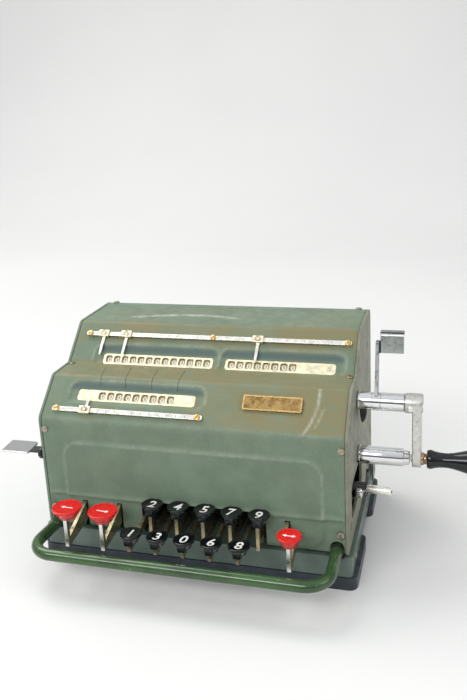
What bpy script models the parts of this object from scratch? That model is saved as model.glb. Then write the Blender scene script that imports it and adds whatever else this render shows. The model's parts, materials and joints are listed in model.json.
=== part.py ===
"""A hand-cranked ten-key pinwheel adding machine, one named solid for each part.

Sizes are in millimetres (MM turns them into metres).  The machine frame has X across
the machine, Y from the front wall towards the back, and Z up, with Y = 0 on the front
wall and X = 0 in the middle of the case.  An empty shifts the whole machine, so that
the origin lies on the table under the middle of its bounding box.
"""
import math

import bmesh
import bpy
from mathutils import Matrix, Vector

MM = 0.001
GAP = 0.3                       # clearance between neighbouring pieces

# ---- driving dimensions ------------------------------------------------------------
CASE_HALF = 112.5               # outer half-width over the side plates
PLATE = 2.0                     # side plate thickness
SHEET = 1.6                     # pressed cover thickness
COVER_HALF = CASE_HALF - PLATE - GAP
COVER_FOOT = 28.2               # lower edge of covers and side plates
FRONT_BEND = (0.0, 113.0)       # corners of the case's side profile, as (y, z)
STEP_FRONT = (26.9, 137.2)
STEP_CREASE = (52.5, 137.2)
TOP_FRONT = (80.2, 162.5)
TOP_BACK = (140.0, 162.5)
CASE_BACK = TOP_BACK[0]
BEND_RADIUS = 6.0
CREASE_RADIUS = 0.8
COVER_SPLIT = 126.0             # y where the front cover ends and the rear cover starts

BASE_HALF = 115.0
BASE_FRONT, BASE_BACK = -2.0, 141.6
BASE_LOW, BASE_TOP = 12.0, 27.0
TABLE = 2.5                     # z of the surface that the feet stand on
FOOT_WIDTH = 10.0
FOOT_RIM, FOOT_FLARE = 1.0, 3.0 # how far the feet stand out past the base: ends, sides

BAR_RADIUS = 4.3
BAR_X, BAR_Z, BAR_FRONT = 104.2, 30.5, -43.4
BAR_BEND = 17.0
BAR_SPLAY = 3.4                 # how far the left arm leans out by its front corner

DIGIT_PITCH = 6.6               # spacing of the register wheels
WHEEL_RADIUS = 9.0
WHEEL_SEGMENTS = 12             # kept low: the wheels lie behind small holes
PRODUCT_DIGITS, COUNTER_DIGITS, SETTING_DIGITS = 13, 8, 9
PRODUCT_X, COUNTER_X, SETTING_X = -82.3, 16.0, -71.0

KEY_PIVOT = (62.0, 36.0)        # (y, z) of the shaft that every key lever turns on
KEY_PITCH = 19.4
KEY_SHAFT_RADIUS = 2.5
LEVER_THICK = 2.4
HUB_RADIUS = 4.5

CRANK_AXIS = (52.9, 119.2)      # (y, z) of the crank
CRANK_THROW = 41.7
ROTOR_AXIS = (60.3, 94.3)
GEAR_RADIUS, GEAR_TOOTH, GEAR_TEETH = 13.0, 0.9, 18
SHAFT_RADIUS = 4.0
BARREL_RADIUS = 6.5             # crank sleeve and stop post
COUNTER_LEVER_AXIS = (45.0, 78.0)

# The bounding box of the finished machine: the origin goes under its middle.
BOX_X = (-147.0, 221.5)
BOX_Y = (BAR_FRONT - BAR_RADIUS, BASE_BACK + FOOT_RIM)

COLOURS = {
    "case_paint": ((0.100, 0.125, 0.085), 0.0, 0.55),
    "bar_enamel": ((0.060, 0.120, 0.045), 0.0, 0.18),
    "base_paint": ((0.090, 0.105, 0.085), 0.0, 0.50),
    "foot_rubber": ((0.030, 0.036, 0.050), 0.0, 0.70),
    "chrome": ((0.75, 0.75, 0.74), 1.0, 0.16),
    "steel": ((0.45, 0.44, 0.42), 1.0, 0.38),
    "brass": ((0.60, 0.50, 0.30), 1.0, 0.35),
    "black_plastic": ((0.012, 0.012, 0.014), 0.0, 0.20),
    "red_plastic": ((0.60, 0.012, 0.015), 0.0, 0.22),
    "wheel_enamel": ((0.100, 0.060, 0.035), 0.0, 0.45),
}

# ---- the two sloping faces: origin corner and unit vectors up the slope and outwards --


def slope(low, high):
    """Frame on a sloping face: x across, second axis up the slope, third outwards."""
    run = Vector((0.0, high[0] - low[0], high[1] - low[1])).normalized()
    out = Vector((0.0, -run.z, run.y))
    return Matrix((
        (1.0, 0.0, 0.0, 0.0),
        (0.0, run.y, out.y, low[0]),
        (0.0, run.z, out.z, low[1]),
        (0.0, 0.0, 0.0, 1.0),
    ))


LOWER_FACE = slope(FRONT_BEND, STEP_FRONT)
UPPER_FACE = slope(STEP_CREASE, TOP_FRONT)

# ---- scene helpers -----------------------------------------------------------------


def clear_scene():
    for existing in list(bpy.data.objects):
        bpy.data.objects.remove(existing, do_unlink=True)


def make_materials():
    made = {}
    for name, (colour, metallic, roughness) in COLOURS.items():
        entry = bpy.data.materials.new(name)
        entry.use_nodes = True
        shader = entry.node_tree.nodes["Principled BSDF"]
        shader.inputs["Base Color"].default_value = (*colour, 1.0)
        shader.inputs["Metallic"].default_value = metallic
        shader.inputs["Roughness"].default_value = roughness
        made[name] = entry
    return made


clear_scene()
MATERIALS = make_materials()
MACHINE = bpy.data.objects.new("machine_frame", None)
bpy.context.scene.collection.objects.link(MACHINE)
MACHINE.location = (-sum(BOX_X) / 2 * MM, -sum(BOX_Y) / 2 * MM, -TABLE * MM)


def new_object(name, shape, pivot=(0.0, 0.0, 0.0)):
    """Object from a bmesh in millimetres, with its origin at pivot."""
    bmesh.ops.recalc_face_normals(shape, faces=shape.faces)
    bmesh.ops.transform(
        shape, verts=shape.verts, space=Matrix.Identity(4),
        matrix=Matrix.Scale(MM, 4) @ Matrix.Translation(-Vector(pivot)))
    mesh = bpy.data.meshes.new(name)
    shape.to_mesh(mesh)
    shape.free()
    made = bpy.data.objects.new(name, mesh)
    bpy.context.scene.collection.objects.link(made)
    made.parent = MACHINE
    made.location = Vector(pivot) * MM
    return made


def part(name, shape, slot, pivot=(0.0, 0.0, 0.0), smooth=False):
    made = new_object(name, shape, pivot)
    made.data.materials.append(MATERIALS[slot])
    if smooth:
        made.data.shade_smooth()
        made.data.set_sharp_from_angle(angle=math.radians(35))
    return made


def tool(name, shape):
    """A hidden operand of a Boolean."""
    made = new_object(name, shape)
    made.hide_render = True
    made.display_type = "WIRE"
    return made


def boolean(target, operand, operation):
    step = target.modifiers.new(operand.name, "BOOLEAN")
    step.object = operand
    step.operation = operation
    step.solver = "EXACT"


def cut(target, operand):
    boolean(target, operand, "DIFFERENCE")


def join(target, operand):
    boolean(target, operand, "UNION")


# ---- shapes ------------------------------------------------------------------------


def add_box(shape, low, high):
    size = Vector(high) - Vector(low)
    centre = (Vector(high) + Vector(low)) / 2
    bmesh.ops.create_cube(
        shape, size=1.0,
        matrix=Matrix.Translation(centre) @ Matrix.Diagonal((*size, 1.0)))


def box(low, high, frame=None):
    shape = bmesh.new()
    add_box(shape, low, high)
    if frame:
        shape.transform(frame)
    return shape


def prism(outline, axis, low, high, frame=None):
    """Closed outline drawn across one axis and extruded along it from low to high."""
    place = {
        "x": lambda a, b, h: (h, a, b),
        "y": lambda a, b, h: (a, h, b),
        "z": lambda a, b, h: (a, b, h),
    }[axis]
    shape = bmesh.new()
    bottom = [shape.verts.new(place(a, b, low)) for a, b in outline]
    top = [shape.verts.new(place(a, b, high)) for a, b in outline]
    shape.faces.new(bottom)
    shape.faces.new(top)
    for index in range(len(outline)):
        following = (index + 1) % len(outline)
        shape.faces.new((bottom[index], bottom[following], top[following], top[index]))
    if frame:
        shape.transform(frame)
    return shape


def turned(profile, axis, centre, segments=24):
    """Solid turned about an axis.  profile is a closed loop of (along, radius) points,
    or an open one that starts and ends on the axis."""
    place = {
        "x": lambda along, c, s: (along, centre[0] + c, centre[1] + s),
        "z": lambda along, c, s: (centre[0] + c, centre[1] + s, along),
    }[axis]
    shape = bmesh.new()
    rings = []
    for along, radius in profile:
        if radius == 0.0:
            rings.append([shape.verts.new(place(along, 0.0, 0.0))])
            continue
        ring = []
        for index in range(segments):
            angle = 2 * math.pi * index / segments
            ring.append(shape.verts.new(
                place(along, radius * math.cos(angle), radius * math.sin(angle))))
        rings.append(ring)
    pairs = list(zip(rings, rings[1:]))
    if len(rings[0]) > 1:
        pairs.append((rings[-1], rings[0]))
    for first, second in pairs:
        for index in range(segments):
            following = (index + 1) % segments
            corners = [first[index % len(first)], first[following % len(first)],
                       second[following % len(second)], second[index % len(second)]]
            distinct = list(dict.fromkeys(corners))
            shape.faces.new(distinct)
    return shape


def rod(low, high, radius, axis, centre, segments=24):
    return turned([(low, 0.0), (low, radius), (high, radius), (high, 0.0)],
                  axis, centre, segments)


def arc(centre, radius, start, end, steps):
    """Points on an arc; angles in degrees."""
    points = []
    for index in range(steps + 1):
        angle = math.radians(start + (end - start) * index / steps)
        points.append((centre[0] + radius * math.cos(angle),
                       centre[1] + radius * math.sin(angle)))
    return points


def rounded_rectangle(low, high, radius, steps=4):
    (left, bottom), (right, top) = low, high
    points = arc((right - radius, top - radius), radius, 0, 90, steps)
    points += arc((left + radius, top - radius), radius, 90, 180, steps)
    points += arc((left + radius, bottom + radius), radius, 180, 270, steps)
    points += arc((right - radius, bottom + radius), radius, 270, 360, steps)
    return points


def filleted(points, radii, steps=4):
    """Open polyline whose inner corners are rounded to the given radii."""
    out = [Vector(points[0])]
    for index in range(1, len(points) - 1):
        corner = Vector(points[index])
        before = (Vector(points[index - 1]) - corner).normalized()
        after = (Vector(points[index + 1]) - corner).normalized()
        half = before.angle(after) / 2
        reach = radii[index - 1] / math.tan(half)
        middle = corner + (before + after).normalized() * radii[index - 1] / math.sin(half)
        first = corner + before * reach - middle
        last = corner + after * reach - middle
        turn = first.angle_signed(last)
        for step in range(steps + 1):
            out.append(middle + first @ Matrix.Rotation(turn * step / steps, 2))
    out.append(Vector(points[-1]))
    return out


def thickened(line, thickness):
    """Outline of a sheet: an open line and its copy offset to the left of travel."""
    offset = []
    for index, point in enumerate(line):
        towards = []
        if index > 0:
            towards.append((point - line[index - 1]).normalized())
        if index < len(line) - 1:
            towards.append((line[index + 1] - point).normalized())
        normals = [Vector((-run.y, run.x)) for run in towards]
        mean = sum(normals, Vector((0.0, 0.0))).normalized()
        offset.append(point + mean * thickness / mean.dot(normals[0]))
    return [tuple(p) for p in line] + [tuple(p) for p in reversed(offset)]


# ---- base --------------------------------------------------------------------------


def base_frame():
    outline = rounded_rectangle((-BASE_HALF, BASE_FRONT), (BASE_HALF, BASE_BACK), 3.0, 3)
    base = part("base_frame", prism(outline, "z", BASE_LOW, BASE_TOP), "base_paint")
    wall, deck = 3.0, 2.5
    cut(base, tool("base_pocket", box(
        (-BASE_HALF + wall, BASE_FRONT + wall, BASE_LOW - 1),
        (BASE_HALF - wall, BASE_BACK - wall, BASE_TOP - deck))))
    for side in (-1, 1):
        cut(base, tool(f"base_bar_notch_{side}", bar_notch(side, BAR_Z - BAR_RADIUS - GAP)))


def bar_notch(side, low):
    """Arch-shaped way for the guard bar, open down to low."""
    reach, rise = BAR_RADIUS + 0.9, 1.2
    outline = arc((side * BAR_X, BAR_Z + rise), reach, 0, 180, 12)
    outline += [(side * BAR_X - reach, low), (side * BAR_X + reach, low)]
    return prism(outline, "y", -6.0, 13.0)


def foot(name, edge, end):
    """U-shaped rubber foot: a strip under one edge of the base, with an arm on each side."""
    half, round_end = BASE_HALF + FOOT_FLARE, FOOT_WIDTH / 2
    inner, outer = 4.0, 6.0     # corner radii
    tip = abs(end - edge) - round_end
    outline = arc((half - round_end, tip), round_end, 0, 180, 6)
    outline += arc((half - FOOT_WIDTH - inner, FOOT_WIDTH + inner), inner, 0, -90, 3)
    outline += arc((-half + FOOT_WIDTH + inner, FOOT_WIDTH + inner), inner, 270, 180, 3)
    outline += arc((-half + round_end, tip), round_end, 0, 180, 6)
    outline += arc((-half + outer, outer), outer, 180, 270, 3)
    outline += arc((half - outer, outer), outer, 270, 360, 3)
    along = math.copysign(1.0, end - edge)
    part(name, prism([(x, edge + along * y) for x, y in outline], "z",
                     TABLE, BASE_LOW - GAP), "foot_rubber")


def guard_bar():
    """Painted hand rail in front of the keys: one bent rod."""
    line = filleted(
        [(-BAR_X, 11.0), (-BAR_X, -3.0), (-BAR_X - BAR_SPLAY, BAR_FRONT),
         (BAR_X, BAR_FRONT), (BAR_X, 11.0)],
        [BAR_BEND, BAR_BEND, BAR_BEND], 7)
    curve = bpy.data.curves.new("guard_bar", "CURVE")
    curve.dimensions = "3D"
    curve.bevel_depth = BAR_RADIUS * MM
    curve.bevel_resolution = 3
    curve.render_resolution_u = 0
    curve.use_fill_caps = True
    spline = curve.splines.new("POLY")
    spline.points.add(len(line) - 1)
    for point, (x, y) in zip(spline.points, line):
        point.co = (x * MM, y * MM, BAR_Z * MM, 1.0)
    made = bpy.data.objects.new("guard_bar", curve)
    bpy.context.scene.collection.objects.link(made)
    made.parent = MACHINE
    curve.materials.append(MATERIALS["bar_enamel"])


# ---- case --------------------------------------------------------------------------


def case_line():
    """The front cover's outer line, from the lower front edge to the split on top."""
    return filleted(
        [(0.0, COVER_FOOT), FRONT_BEND, STEP_FRONT, STEP_CREASE, TOP_FRONT,
         (COVER_SPLIT, TOP_FRONT[1])],
        [BEND_RADIUS, BEND_RADIUS, CREASE_RADIUS, BEND_RADIUS])


def window_opening(low, high, frame):
    outline = rounded_rectangle(low, high, 2.4, 3)
    return prism(outline, "z", -SHEET - 1.0, 2.0, frame)


WINDOWS = {
    "product_window": (UPPER_FACE, -84.0, 5.0, 0.4, 9.8, PRODUCT_X, PRODUCT_DIGITS),
    "counter_window": (UPPER_FACE, 14.2, 97.0, 0.4, 9.8, COUNTER_X, COUNTER_DIGITS),
    "setting_window": (LOWER_FACE, -87.0, 3.7, 16.3, 25.5, SETTING_X, SETTING_DIGITS),
}
DIGIT_SLOT = (-36.8, 55.4, 54.6)        # the opening behind the digit keys: x, x, top
RED_KEYS = {"left": (-81.5, 10.5, 59.8), "right": (-54.2, 10.4, 59.8),
            "sign": (77.5, 8.3, 56.2)}      # x, cap radius, cap top
SIGN_SLOT_X = 70.6


def front_cover():
    line = case_line()
    outline = thickened(line, -SHEET)
    cover = part("front_cover", prism(outline, "x", -COVER_HALF, COVER_HALF),
                 "case_paint", smooth=True)
    for name, (frame, left, right, low, high, _, _) in WINDOWS.items():
        cut(cover, tool(name + "_opening", window_opening((left, low), (right, high), frame)))
    left, right, top = DIGIT_SLOT
    mouth = rounded_rectangle((left, COVER_FOOT - 8), (right, top), 4.0, 3)
    cut(cover, tool("digit_mouth", prism(mouth, "y", -3.0, SHEET + 2)))
    for x in (RED_KEYS["left"][0], RED_KEYS["right"][0], SIGN_SLOT_X):
        cut(cover, tool(f"red_slot_{x:.0f}", box(
            (x - 2.0, -3.0, COVER_FOOT - 2), (x + 2.0, SHEET + 2, 49.5))))
    for side in (-1, 1):
        cut(cover, tool(f"cover_bar_notch_{side}", bar_notch(side, COVER_FOOT - 2)))


def rear_cover():
    line = filleted(
        [(COVER_SPLIT + GAP, TOP_BACK[1]), TOP_BACK, (CASE_BACK, COVER_FOOT)],
        [BEND_RADIUS + 1.0])
    part("rear_cover", prism(thickened(line, -SHEET), "x", -COVER_HALF, COVER_HALF),
         "case_paint", smooth=True)


def side_plates():
    line = filleted(
        [(0.0, COVER_FOOT), FRONT_BEND, STEP_FRONT, STEP_CREASE, TOP_FRONT, TOP_BACK,
         (CASE_BACK, COVER_FOOT)],
        [BEND_RADIUS, BEND_RADIUS, CREASE_RADIUS, BEND_RADIUS, BEND_RADIUS + 1.0])
    outline = [tuple(point) for point in line]
    inner = CASE_HALF - PLATE
    left = part("side_plate_left", prism(outline, "x", -CASE_HALF, -inner), "case_paint")
    right = part("side_plate_right", prism(outline, "x", inner, CASE_HALF), "case_paint")
    cut(right, tool("crank_hole", rod(inner - 2, CASE_HALF + 2, SHAFT_RADIUS + 0.6, "x",
                                      CRANK_AXIS)))
    recess = rounded_rectangle((16.0, 44.0), (74.0, 70.0), 6.0)
    cut(right, tool("lever_recess", prism(recess, "x", inner - 2, CASE_HALF + 2)))
    oval = rounded_rectangle((112.0, 136.3), (118.0, 142.9), 2.9)
    cut(right, tool("oil_hole", prism(oval, "x", inner - 2, CASE_HALF + 2)))
    for y, z in ((12.0, 114.0), (128.0, 64.0), (12.6, 43.0)):
        slot = box((inner - 2, y - 1.5, z - 3.5), (CASE_HALF + 2, y + 1.5, z + 3.5))
        cut(right, tool(f"plate_slot_{y:.0f}_{z:.0f}", slot))
    cut(left, tool("counter_lever_hole", rod(-CASE_HALF - 2, -inner + 2, 5.6, "x",
                                             COUNTER_LEVER_AXIS)))


# ---- windows, rails, sliders, name plate -------------------------------------------


def window_plates():
    """Brass plates under the windows, with one hole over each register wheel."""
    thick, rim = 0.8, 1.6
    hole_wide, hole_high = 4.4, 5.6
    for name, (frame, left, right, low, high, first, digits) in WINDOWS.items():
        under = -SHEET - GAP
        bottom = low if frame is UPPER_FACE else low - rim
        plate = part(name, box((left - rim, bottom, under - thick),
                               (right + rim, high + rim, under), frame), "brass")
        face = rounded_rectangle((left + GAP, low + GAP), (right - GAP, high - GAP), 2.2, 3)
        join(plate, tool(name + "_face", prism(face, "z", under - thick / 2, -0.9, frame)))
        holes = bmesh.new()
        middle = (low + high) / 2
        for index in range(digits):
            x = first + (index + 0.5) * DIGIT_PITCH
            add_box(holes, (x - hole_wide / 2, middle - hole_high / 2, under - thick - 1),
                    (x + hole_wide / 2, middle + hole_high / 2, 1.0))
        holes.transform(frame)
        cut(plate, tool(name + "_holes", holes))


RAIL_HALF = 1.7                 # half the rail's height
RAIL_LOW, RAIL_HIGH = 1.0, 2.3  # its standing above the cover
UPPER_RAIL_V, LOWER_RAIL_V = 25.2, 7.6
SLIDERS = {                     # face, rail position up the slope, x, pointer direction
    "slider_product_left": (UPPER_FACE, UPPER_RAIL_V, -87.0, -1),
    "slider_product_right": (UPPER_FACE, UPPER_RAIL_V, -68.1, -1),
    "slider_counter": (UPPER_FACE, UPPER_RAIL_V, 37.4, -1),
    "slider_setting": (LOWER_FACE, LOWER_RAIL_V, -76.5, 1),
}


def rails():
    rail_ends = {
        "upper_rail": (UPPER_FACE, UPPER_RAIL_V, -102.0, 107.0, (-98.5, 2.7, 104.1)),
        "lower_rail": (LOWER_FACE, LOWER_RAIL_V, -102.5, 12.0, (-98.9, 8.4)),
    }
    for name, (frame, middle, left, right, screws) in rail_ends.items():
        rail = part(name, box((left, middle - RAIL_HALF, RAIL_LOW),
                              (right, middle + RAIL_HALF, RAIL_HIGH), frame), "steel")
        for x in screws:
            head = rod(GAP, RAIL_HIGH + 1.2, 2.2, "z", (x, middle), 14)
            head.transform(frame)
            join(rail, tool(f"{name}_screw_{x:.0f}", head))


def sliders():
    """Decimal markers: a block that clips round its rail, with a pointer."""
    half_width, wall = 4.2, 0.8
    for name, (frame, middle, x, direction) in SLIDERS.items():
        lip = RAIL_HALF + GAP
        outline = [
            (middle - lip - wall, RAIL_LOW - 0.5), (middle - lip, RAIL_LOW - 0.5),
            (middle - lip, RAIL_HIGH + GAP), (middle + lip, RAIL_HIGH + GAP),
            (middle + lip, RAIL_LOW - 0.5), (middle + lip + wall, RAIL_LOW - 0.5),
            (middle + lip + wall, RAIL_HIGH + 1.4), (middle - lip - wall, RAIL_HIGH + 1.4),
        ]
        pivot = frame @ Vector((x, middle, RAIL_HIGH))
        clip = part(name, prism(outline, "x", x - half_width, x + half_width, frame),
                    "brass", pivot)
        tip = 11.0 if direction > 0 else 15.0
        root, end = middle + direction * (lip + wall - 0.4), middle + direction * (lip + tip)
        pointer = [(x - 1.1, root), (x + 1.1, root), (x + 0.9, end - direction * 1.6),
                   (x, end), (x - 0.9, end - direction * 1.6)]
        join(clip, tool(name + "_pointer", prism(pointer, "z", RAIL_LOW - 0.3,
                                                 RAIL_LOW + 0.5, frame)))
        button = rod(RAIL_HIGH + 1.0, RAIL_HIGH + 2.4, 1.9, "z", (x, middle), 14)
        button.transform(frame)
        join(clip, tool(name + "_button", button))


def name_plate():
    """Blank plate on the lower sloping face."""
    outline = rounded_rectangle((38.6, 16.4), (80.2, 27.6), 1.2, 2)
    part("name_plate", prism(outline, "z", GAP, 1.5, LOWER_FACE), "brass")


# ---- registers ---------------------------------------------------------------------


def wheel_axis(name):
    """(y, z) of the register axis behind a window."""
    frame, _, _, low, high, _, _ = WINDOWS[name]
    depth = SHEET + GAP + 0.8 + 0.7 + WHEEL_RADIUS
    point = frame @ Vector((0.0, (low + high) / 2, -depth))
    return (point.y, point.z)


def wheel_bank(name, first, digits, centre, bore):
    """A bank of register wheels side by side, with a groove between neighbours."""
    groove = 1.2
    outer = []
    for index in range(digits):
        left = first + index * DIGIT_PITCH
        outer.append((left + 0.25, WHEEL_RADIUS))
        outer.append((left + DIGIT_PITCH - 0.25, WHEEL_RADIUS))
        if index < digits - 1:
            outer.append((left + DIGIT_PITCH, WHEEL_RADIUS - groove))
    profile = outer + [(outer[-1][0], bore), (outer[0][0], bore)]
    part(name, turned(profile, "x", centre, WHEEL_SEGMENTS), "wheel_enamel",
         (first, *centre), smooth=True)


def registers():
    upper = wheel_axis("product_window")
    lower = wheel_axis("setting_window")
    bore = 2.3
    wheel_bank("product_wheels", PRODUCT_X, PRODUCT_DIGITS, upper, bore)
    wheel_bank("counter_wheels", COUNTER_X, COUNTER_DIGITS, upper, bore)
    wheel_bank("setting_wheels", SETTING_X, SETTING_DIGITS, lower, bore)
    part("register_shaft", rod(-COVER_HALF, COVER_HALF, bore - GAP, "x", upper, 14), "steel")
    part("setting_shaft", rod(-COVER_HALF, 30.0, bore - GAP, "x", lower, 14), "steel")


# ---- keys --------------------------------------------------------------------------

TOP_ROW, BOTTOM_ROW = "24579", "13068"
TOP_ROW_X, BOTTOM_ROW_X = -25.0, -34.4
TOP_CAP = (-8.0, 57.5)          # cap centre y, cap top z
BOTTOM_CAP = (-27.0, 44.7)
DIGIT_CAP_RADIUS, DIGIT_CAP_HEIGHT = 7.6, 6.8
DIGIT_STEM = DIGIT_CAP_RADIUS - 1.8     # cap centre to the front of its lever's stem
RED_CAP_Y, RED_CAP_HEIGHT = -27.0, 8.0
RED_STEM = 3.4                  # depth of a red key's stem


def turned_cap(name, slot, x, y, top, radius, height, narrow):
    """Tapered cap with a dished top; narrow is its radius at the bottom."""
    profile = [(top - height, 0.0), (top - height, narrow), (top - 2.2, radius - 0.2),
               (top - 0.9, radius), (top - 0.2, radius - 0.5), (top - 0.5, radius - 1.6),
               (top - 0.8, 0.0)]
    return part(name, turned(profile, "z", (x, y), 18), slot, (x, *KEY_PIVOT), smooth=True)


def slot_for_stem(cap, x, front, back, low, high):
    half = LEVER_THICK / 2 + GAP
    cut(cap, tool(cap.name + "_slot", box((x - half, front - GAP, low),
                                          (x + half, back, high))))


def digit_cap(name, x, y, top):
    """Black cap with a front tongue; the slot for its lever runs out at the back."""
    radius, bottom, tongue_half = DIGIT_CAP_RADIUS, top - DIGIT_CAP_HEIGHT, 3.0
    cap = turned_cap(name, "black_plastic", x, y, top, radius, DIGIT_CAP_HEIGHT,
                     radius * 0.6)
    front = y - radius
    tongue = prism([(front + 0.1, top - 1.6), (front + 0.8, bottom),
                    (front + 3.2, bottom), (front + 3.2, top - 1.6)],
                   "x", x - tongue_half, x + tongue_half)
    join(cap, tool(name + "_tongue", tongue))
    slot_for_stem(cap, x, y - DIGIT_STEM, y + radius + 1, bottom - 1, top - 3.2)


def lever_outline(front):
    """Lever outline in (y, z): the given front points and a round hub on the pivot."""
    hub = arc(KEY_PIVOT, HUB_RADIUS, -120, 120, 8)
    return front + hub


def key_bore():
    return tool("key_bore", rod(-120.0, 120.0, KEY_SHAFT_RADIUS + GAP, "x", KEY_PIVOT, 16))


def digit_levers(bore):
    for index in range(5):
        x = TOP_ROW_X + index * KEY_PITCH
        y, top = TOP_CAP
        stem = y - DIGIT_STEM
        front = [(stem + 3.0, 38.5), (stem + 3.0, top - 3.5), (stem, top - 3.5), (stem, 32.5)]
        digit_key(TOP_ROW[index], x, TOP_CAP, front, bore)
        x = BOTTOM_ROW_X + index * KEY_PITCH
        y, top = BOTTOM_CAP
        stem = y - DIGIT_STEM
        front = [(0.0, 42.4), (-19.0, 38.6), (stem + 9.0, 38.6), (stem + 9.0, top - 3.5),
                 (stem, top - 3.5), (stem, 33.0), (stem + 3.0, 33.0), (0.0, 36.4)]
        digit_key(BOTTOM_ROW[index], x, BOTTOM_CAP, front, bore)


def digit_key(digit, x, cap, front, bore):
    digit_cap(f"key_cap_{digit}", x, *cap)
    half = LEVER_THICK / 2
    lever = part(f"key_lever_{digit}", prism(lever_outline(front), "x", x - half, x + half),
                 "steel", (x, *KEY_PIVOT))
    cut(lever, bore)


def red_keys(bore):
    half = LEVER_THICK / 2
    for name, (x, radius, top) in RED_KEYS.items():
        reach = radius * 0.52
        front, back = RED_CAP_Y - reach, RED_CAP_Y - reach + RED_STEM
        cap = turned_cap(f"shift_cap_{name}", "red_plastic", x, RED_CAP_Y, top, radius,
                         RED_CAP_HEIGHT, reach + GAP + 0.8)
        slot_for_stem(cap, x, front, back + GAP, top - RED_CAP_HEIGHT - 1, top - 3.2)
        stem = [(back, 37.4), (back, top - 3.5), (front, top - 3.5), (front, 31.0),
                (front + 4.4, 31.0)]
        pivot = (x, *KEY_PIVOT)
        if name != "sign":
            outline = lever_outline([(0.0, 48.8), *stem, (0.0, 34.6)])
            lever = part(f"shift_lever_{name}", prism(outline, "x", x - half, x + half),
                         "chrome", pivot)
        else:
            front = [(0.0, 48.8), (-6.0, 46.4), (-6.0, 35.6), (0.0, 36.2)]
            lever = part(f"shift_lever_{name}", prism(
                lever_outline(front), "x", SIGN_SLOT_X - half, SIGN_SLOT_X + half),
                "chrome", pivot)
            join(lever, tool("sign_web", box((SIGN_SLOT_X, -5.8, 38.0), (x, -3.4, 46.0))))
            stem_outline = [(-3.6, 45.6), *stem, (-3.6, 34.9)]
            join(lever, tool("sign_stem", prism(stem_outline, "x", x - half, x + half)))
        cut(lever, bore)


def keys():
    bore = key_bore()
    digit_levers(bore)
    red_keys(bore)
    part("key_shaft", rod(-COVER_HALF, COVER_HALF, KEY_SHAFT_RADIUS, "x", KEY_PIVOT, 16),
         "steel")


# ---- crank and rotor ---------------------------------------------------------------

GEAR_X = (98.0, 104.0)
SLEEVE_END, HUB_END = 145.5, 157.8
NECK = (123.0, 129.0)           # where the clearing lever's hub sits in the sleeve
HANDLE_Z = CRANK_AXIS[1] - CRANK_THROW
HANDLE_AXIS = (CRANK_AXIS[0], HANDLE_Z)
GRIP_START, GRIP_END = 160.8, 221.5
PIN_RADIUS = 2.4


def gear(name, centre, half_tooth_turn):
    """Spur gear blank with trapezoid teeth."""
    outline = []
    for index in range(GEAR_TEETH):
        start = 360.0 / GEAR_TEETH * (index + half_tooth_turn)
        for share, radius in ((-0.30, GEAR_RADIUS - GEAR_TOOTH),
                              (-0.14, GEAR_RADIUS + GEAR_TOOTH),
                              (0.14, GEAR_RADIUS + GEAR_TOOTH),
                              (0.30, GEAR_RADIUS - GEAR_TOOTH)):
            angle = math.radians(start + share * 360.0 / GEAR_TEETH)
            outline.append((centre[0] + radius * math.cos(angle),
                            centre[1] + radius * math.sin(angle)))
    return tool(name, prism(outline, "x", *GEAR_X))


def crank():
    line_angle = math.degrees(math.atan2(ROTOR_AXIS[1] - CRANK_AXIS[1],
                                         ROTOR_AXIS[0] - CRANK_AXIS[0]))
    tooth = 360.0 / GEAR_TEETH
    pivot = (GEAR_X[0], *CRANK_AXIS)
    shaft = part("crank_shaft", rod(94.0, 149.6, SHAFT_RADIUS, "x", CRANK_AXIS, 20),
                 "steel", pivot)
    join(shaft, gear("crank_teeth", CRANK_AXIS, line_angle / tooth))
    rotor_pivot = (GEAR_X[0], *ROTOR_AXIS)
    rotor = part("rotor_shaft", rod(-106.0, 108.0, 3.5, "x", ROTOR_AXIS, 16), "steel",
                 rotor_pivot)
    join(rotor, gear("rotor_teeth", ROTOR_AXIS, (line_angle + 180.0) / tooth + 0.5))

    bore = SHAFT_RADIUS + GAP
    start = CASE_HALF + GAP
    sleeve = [(start, 7.2), (start + 1.4, 7.2), (start + 1.4, BARREL_RADIUS),
              (NECK[0], BARREL_RADIUS), (NECK[0], 5.2), (NECK[1], 5.2),
              (NECK[1], BARREL_RADIUS), (SLEEVE_END, BARREL_RADIUS), (SLEEVE_END, bore),
              (start, bore)]
    barrel = part("crank_sleeve", turned(sleeve, "x", CRANK_AXIS, 20), "chrome", smooth=True)
    tail = [(114.2, 114.0), (119.6, 114.0), (118.6, 107.0), (116.4, 102.8), (114.6, 106.5)]
    join(barrel, tool("sleeve_tail", prism(tail, "y", 50.0, 56.0)))
    crank_arm()
    handle()


def crank_arm():
    """Hub with a blind bore for the shaft, flat arm and the handle's stepped pin."""
    bore, bore_end = SHAFT_RADIUS + GAP, 150.0
    start = SLEEVE_END + GAP
    hub = [(bore_end, 0.0), (bore_end, bore), (start, bore), (start, 7.1),
           (HUB_END - 0.8, 7.1), (HUB_END, 6.3), (HUB_END, 0.0)]
    arm = part("crank_arm", turned(hub, "x", CRANK_AXIS, 24), "steel",
               (SLEEVE_END, *CRANK_AXIS), smooth=True)
    outline = arc(CRANK_AXIS, 6.5, 20, 160, 8)
    outline += arc(HANDLE_AXIS, 6.4, 180, 360, 10)
    join(arm, tool("crank_web", prism(outline, "x", 150.8, 157.0)))
    collar, root = 4.6, 154.0
    pin = [(root, 0.0), (root, collar), (GRIP_START - GAP, collar),
           (GRIP_START - GAP, PIN_RADIUS), (214.0, PIN_RADIUS), (214.0, 0.0)]
    join(arm, tool("handle_pin", turned(pin, "x", HANDLE_AXIS, 16)))


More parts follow.
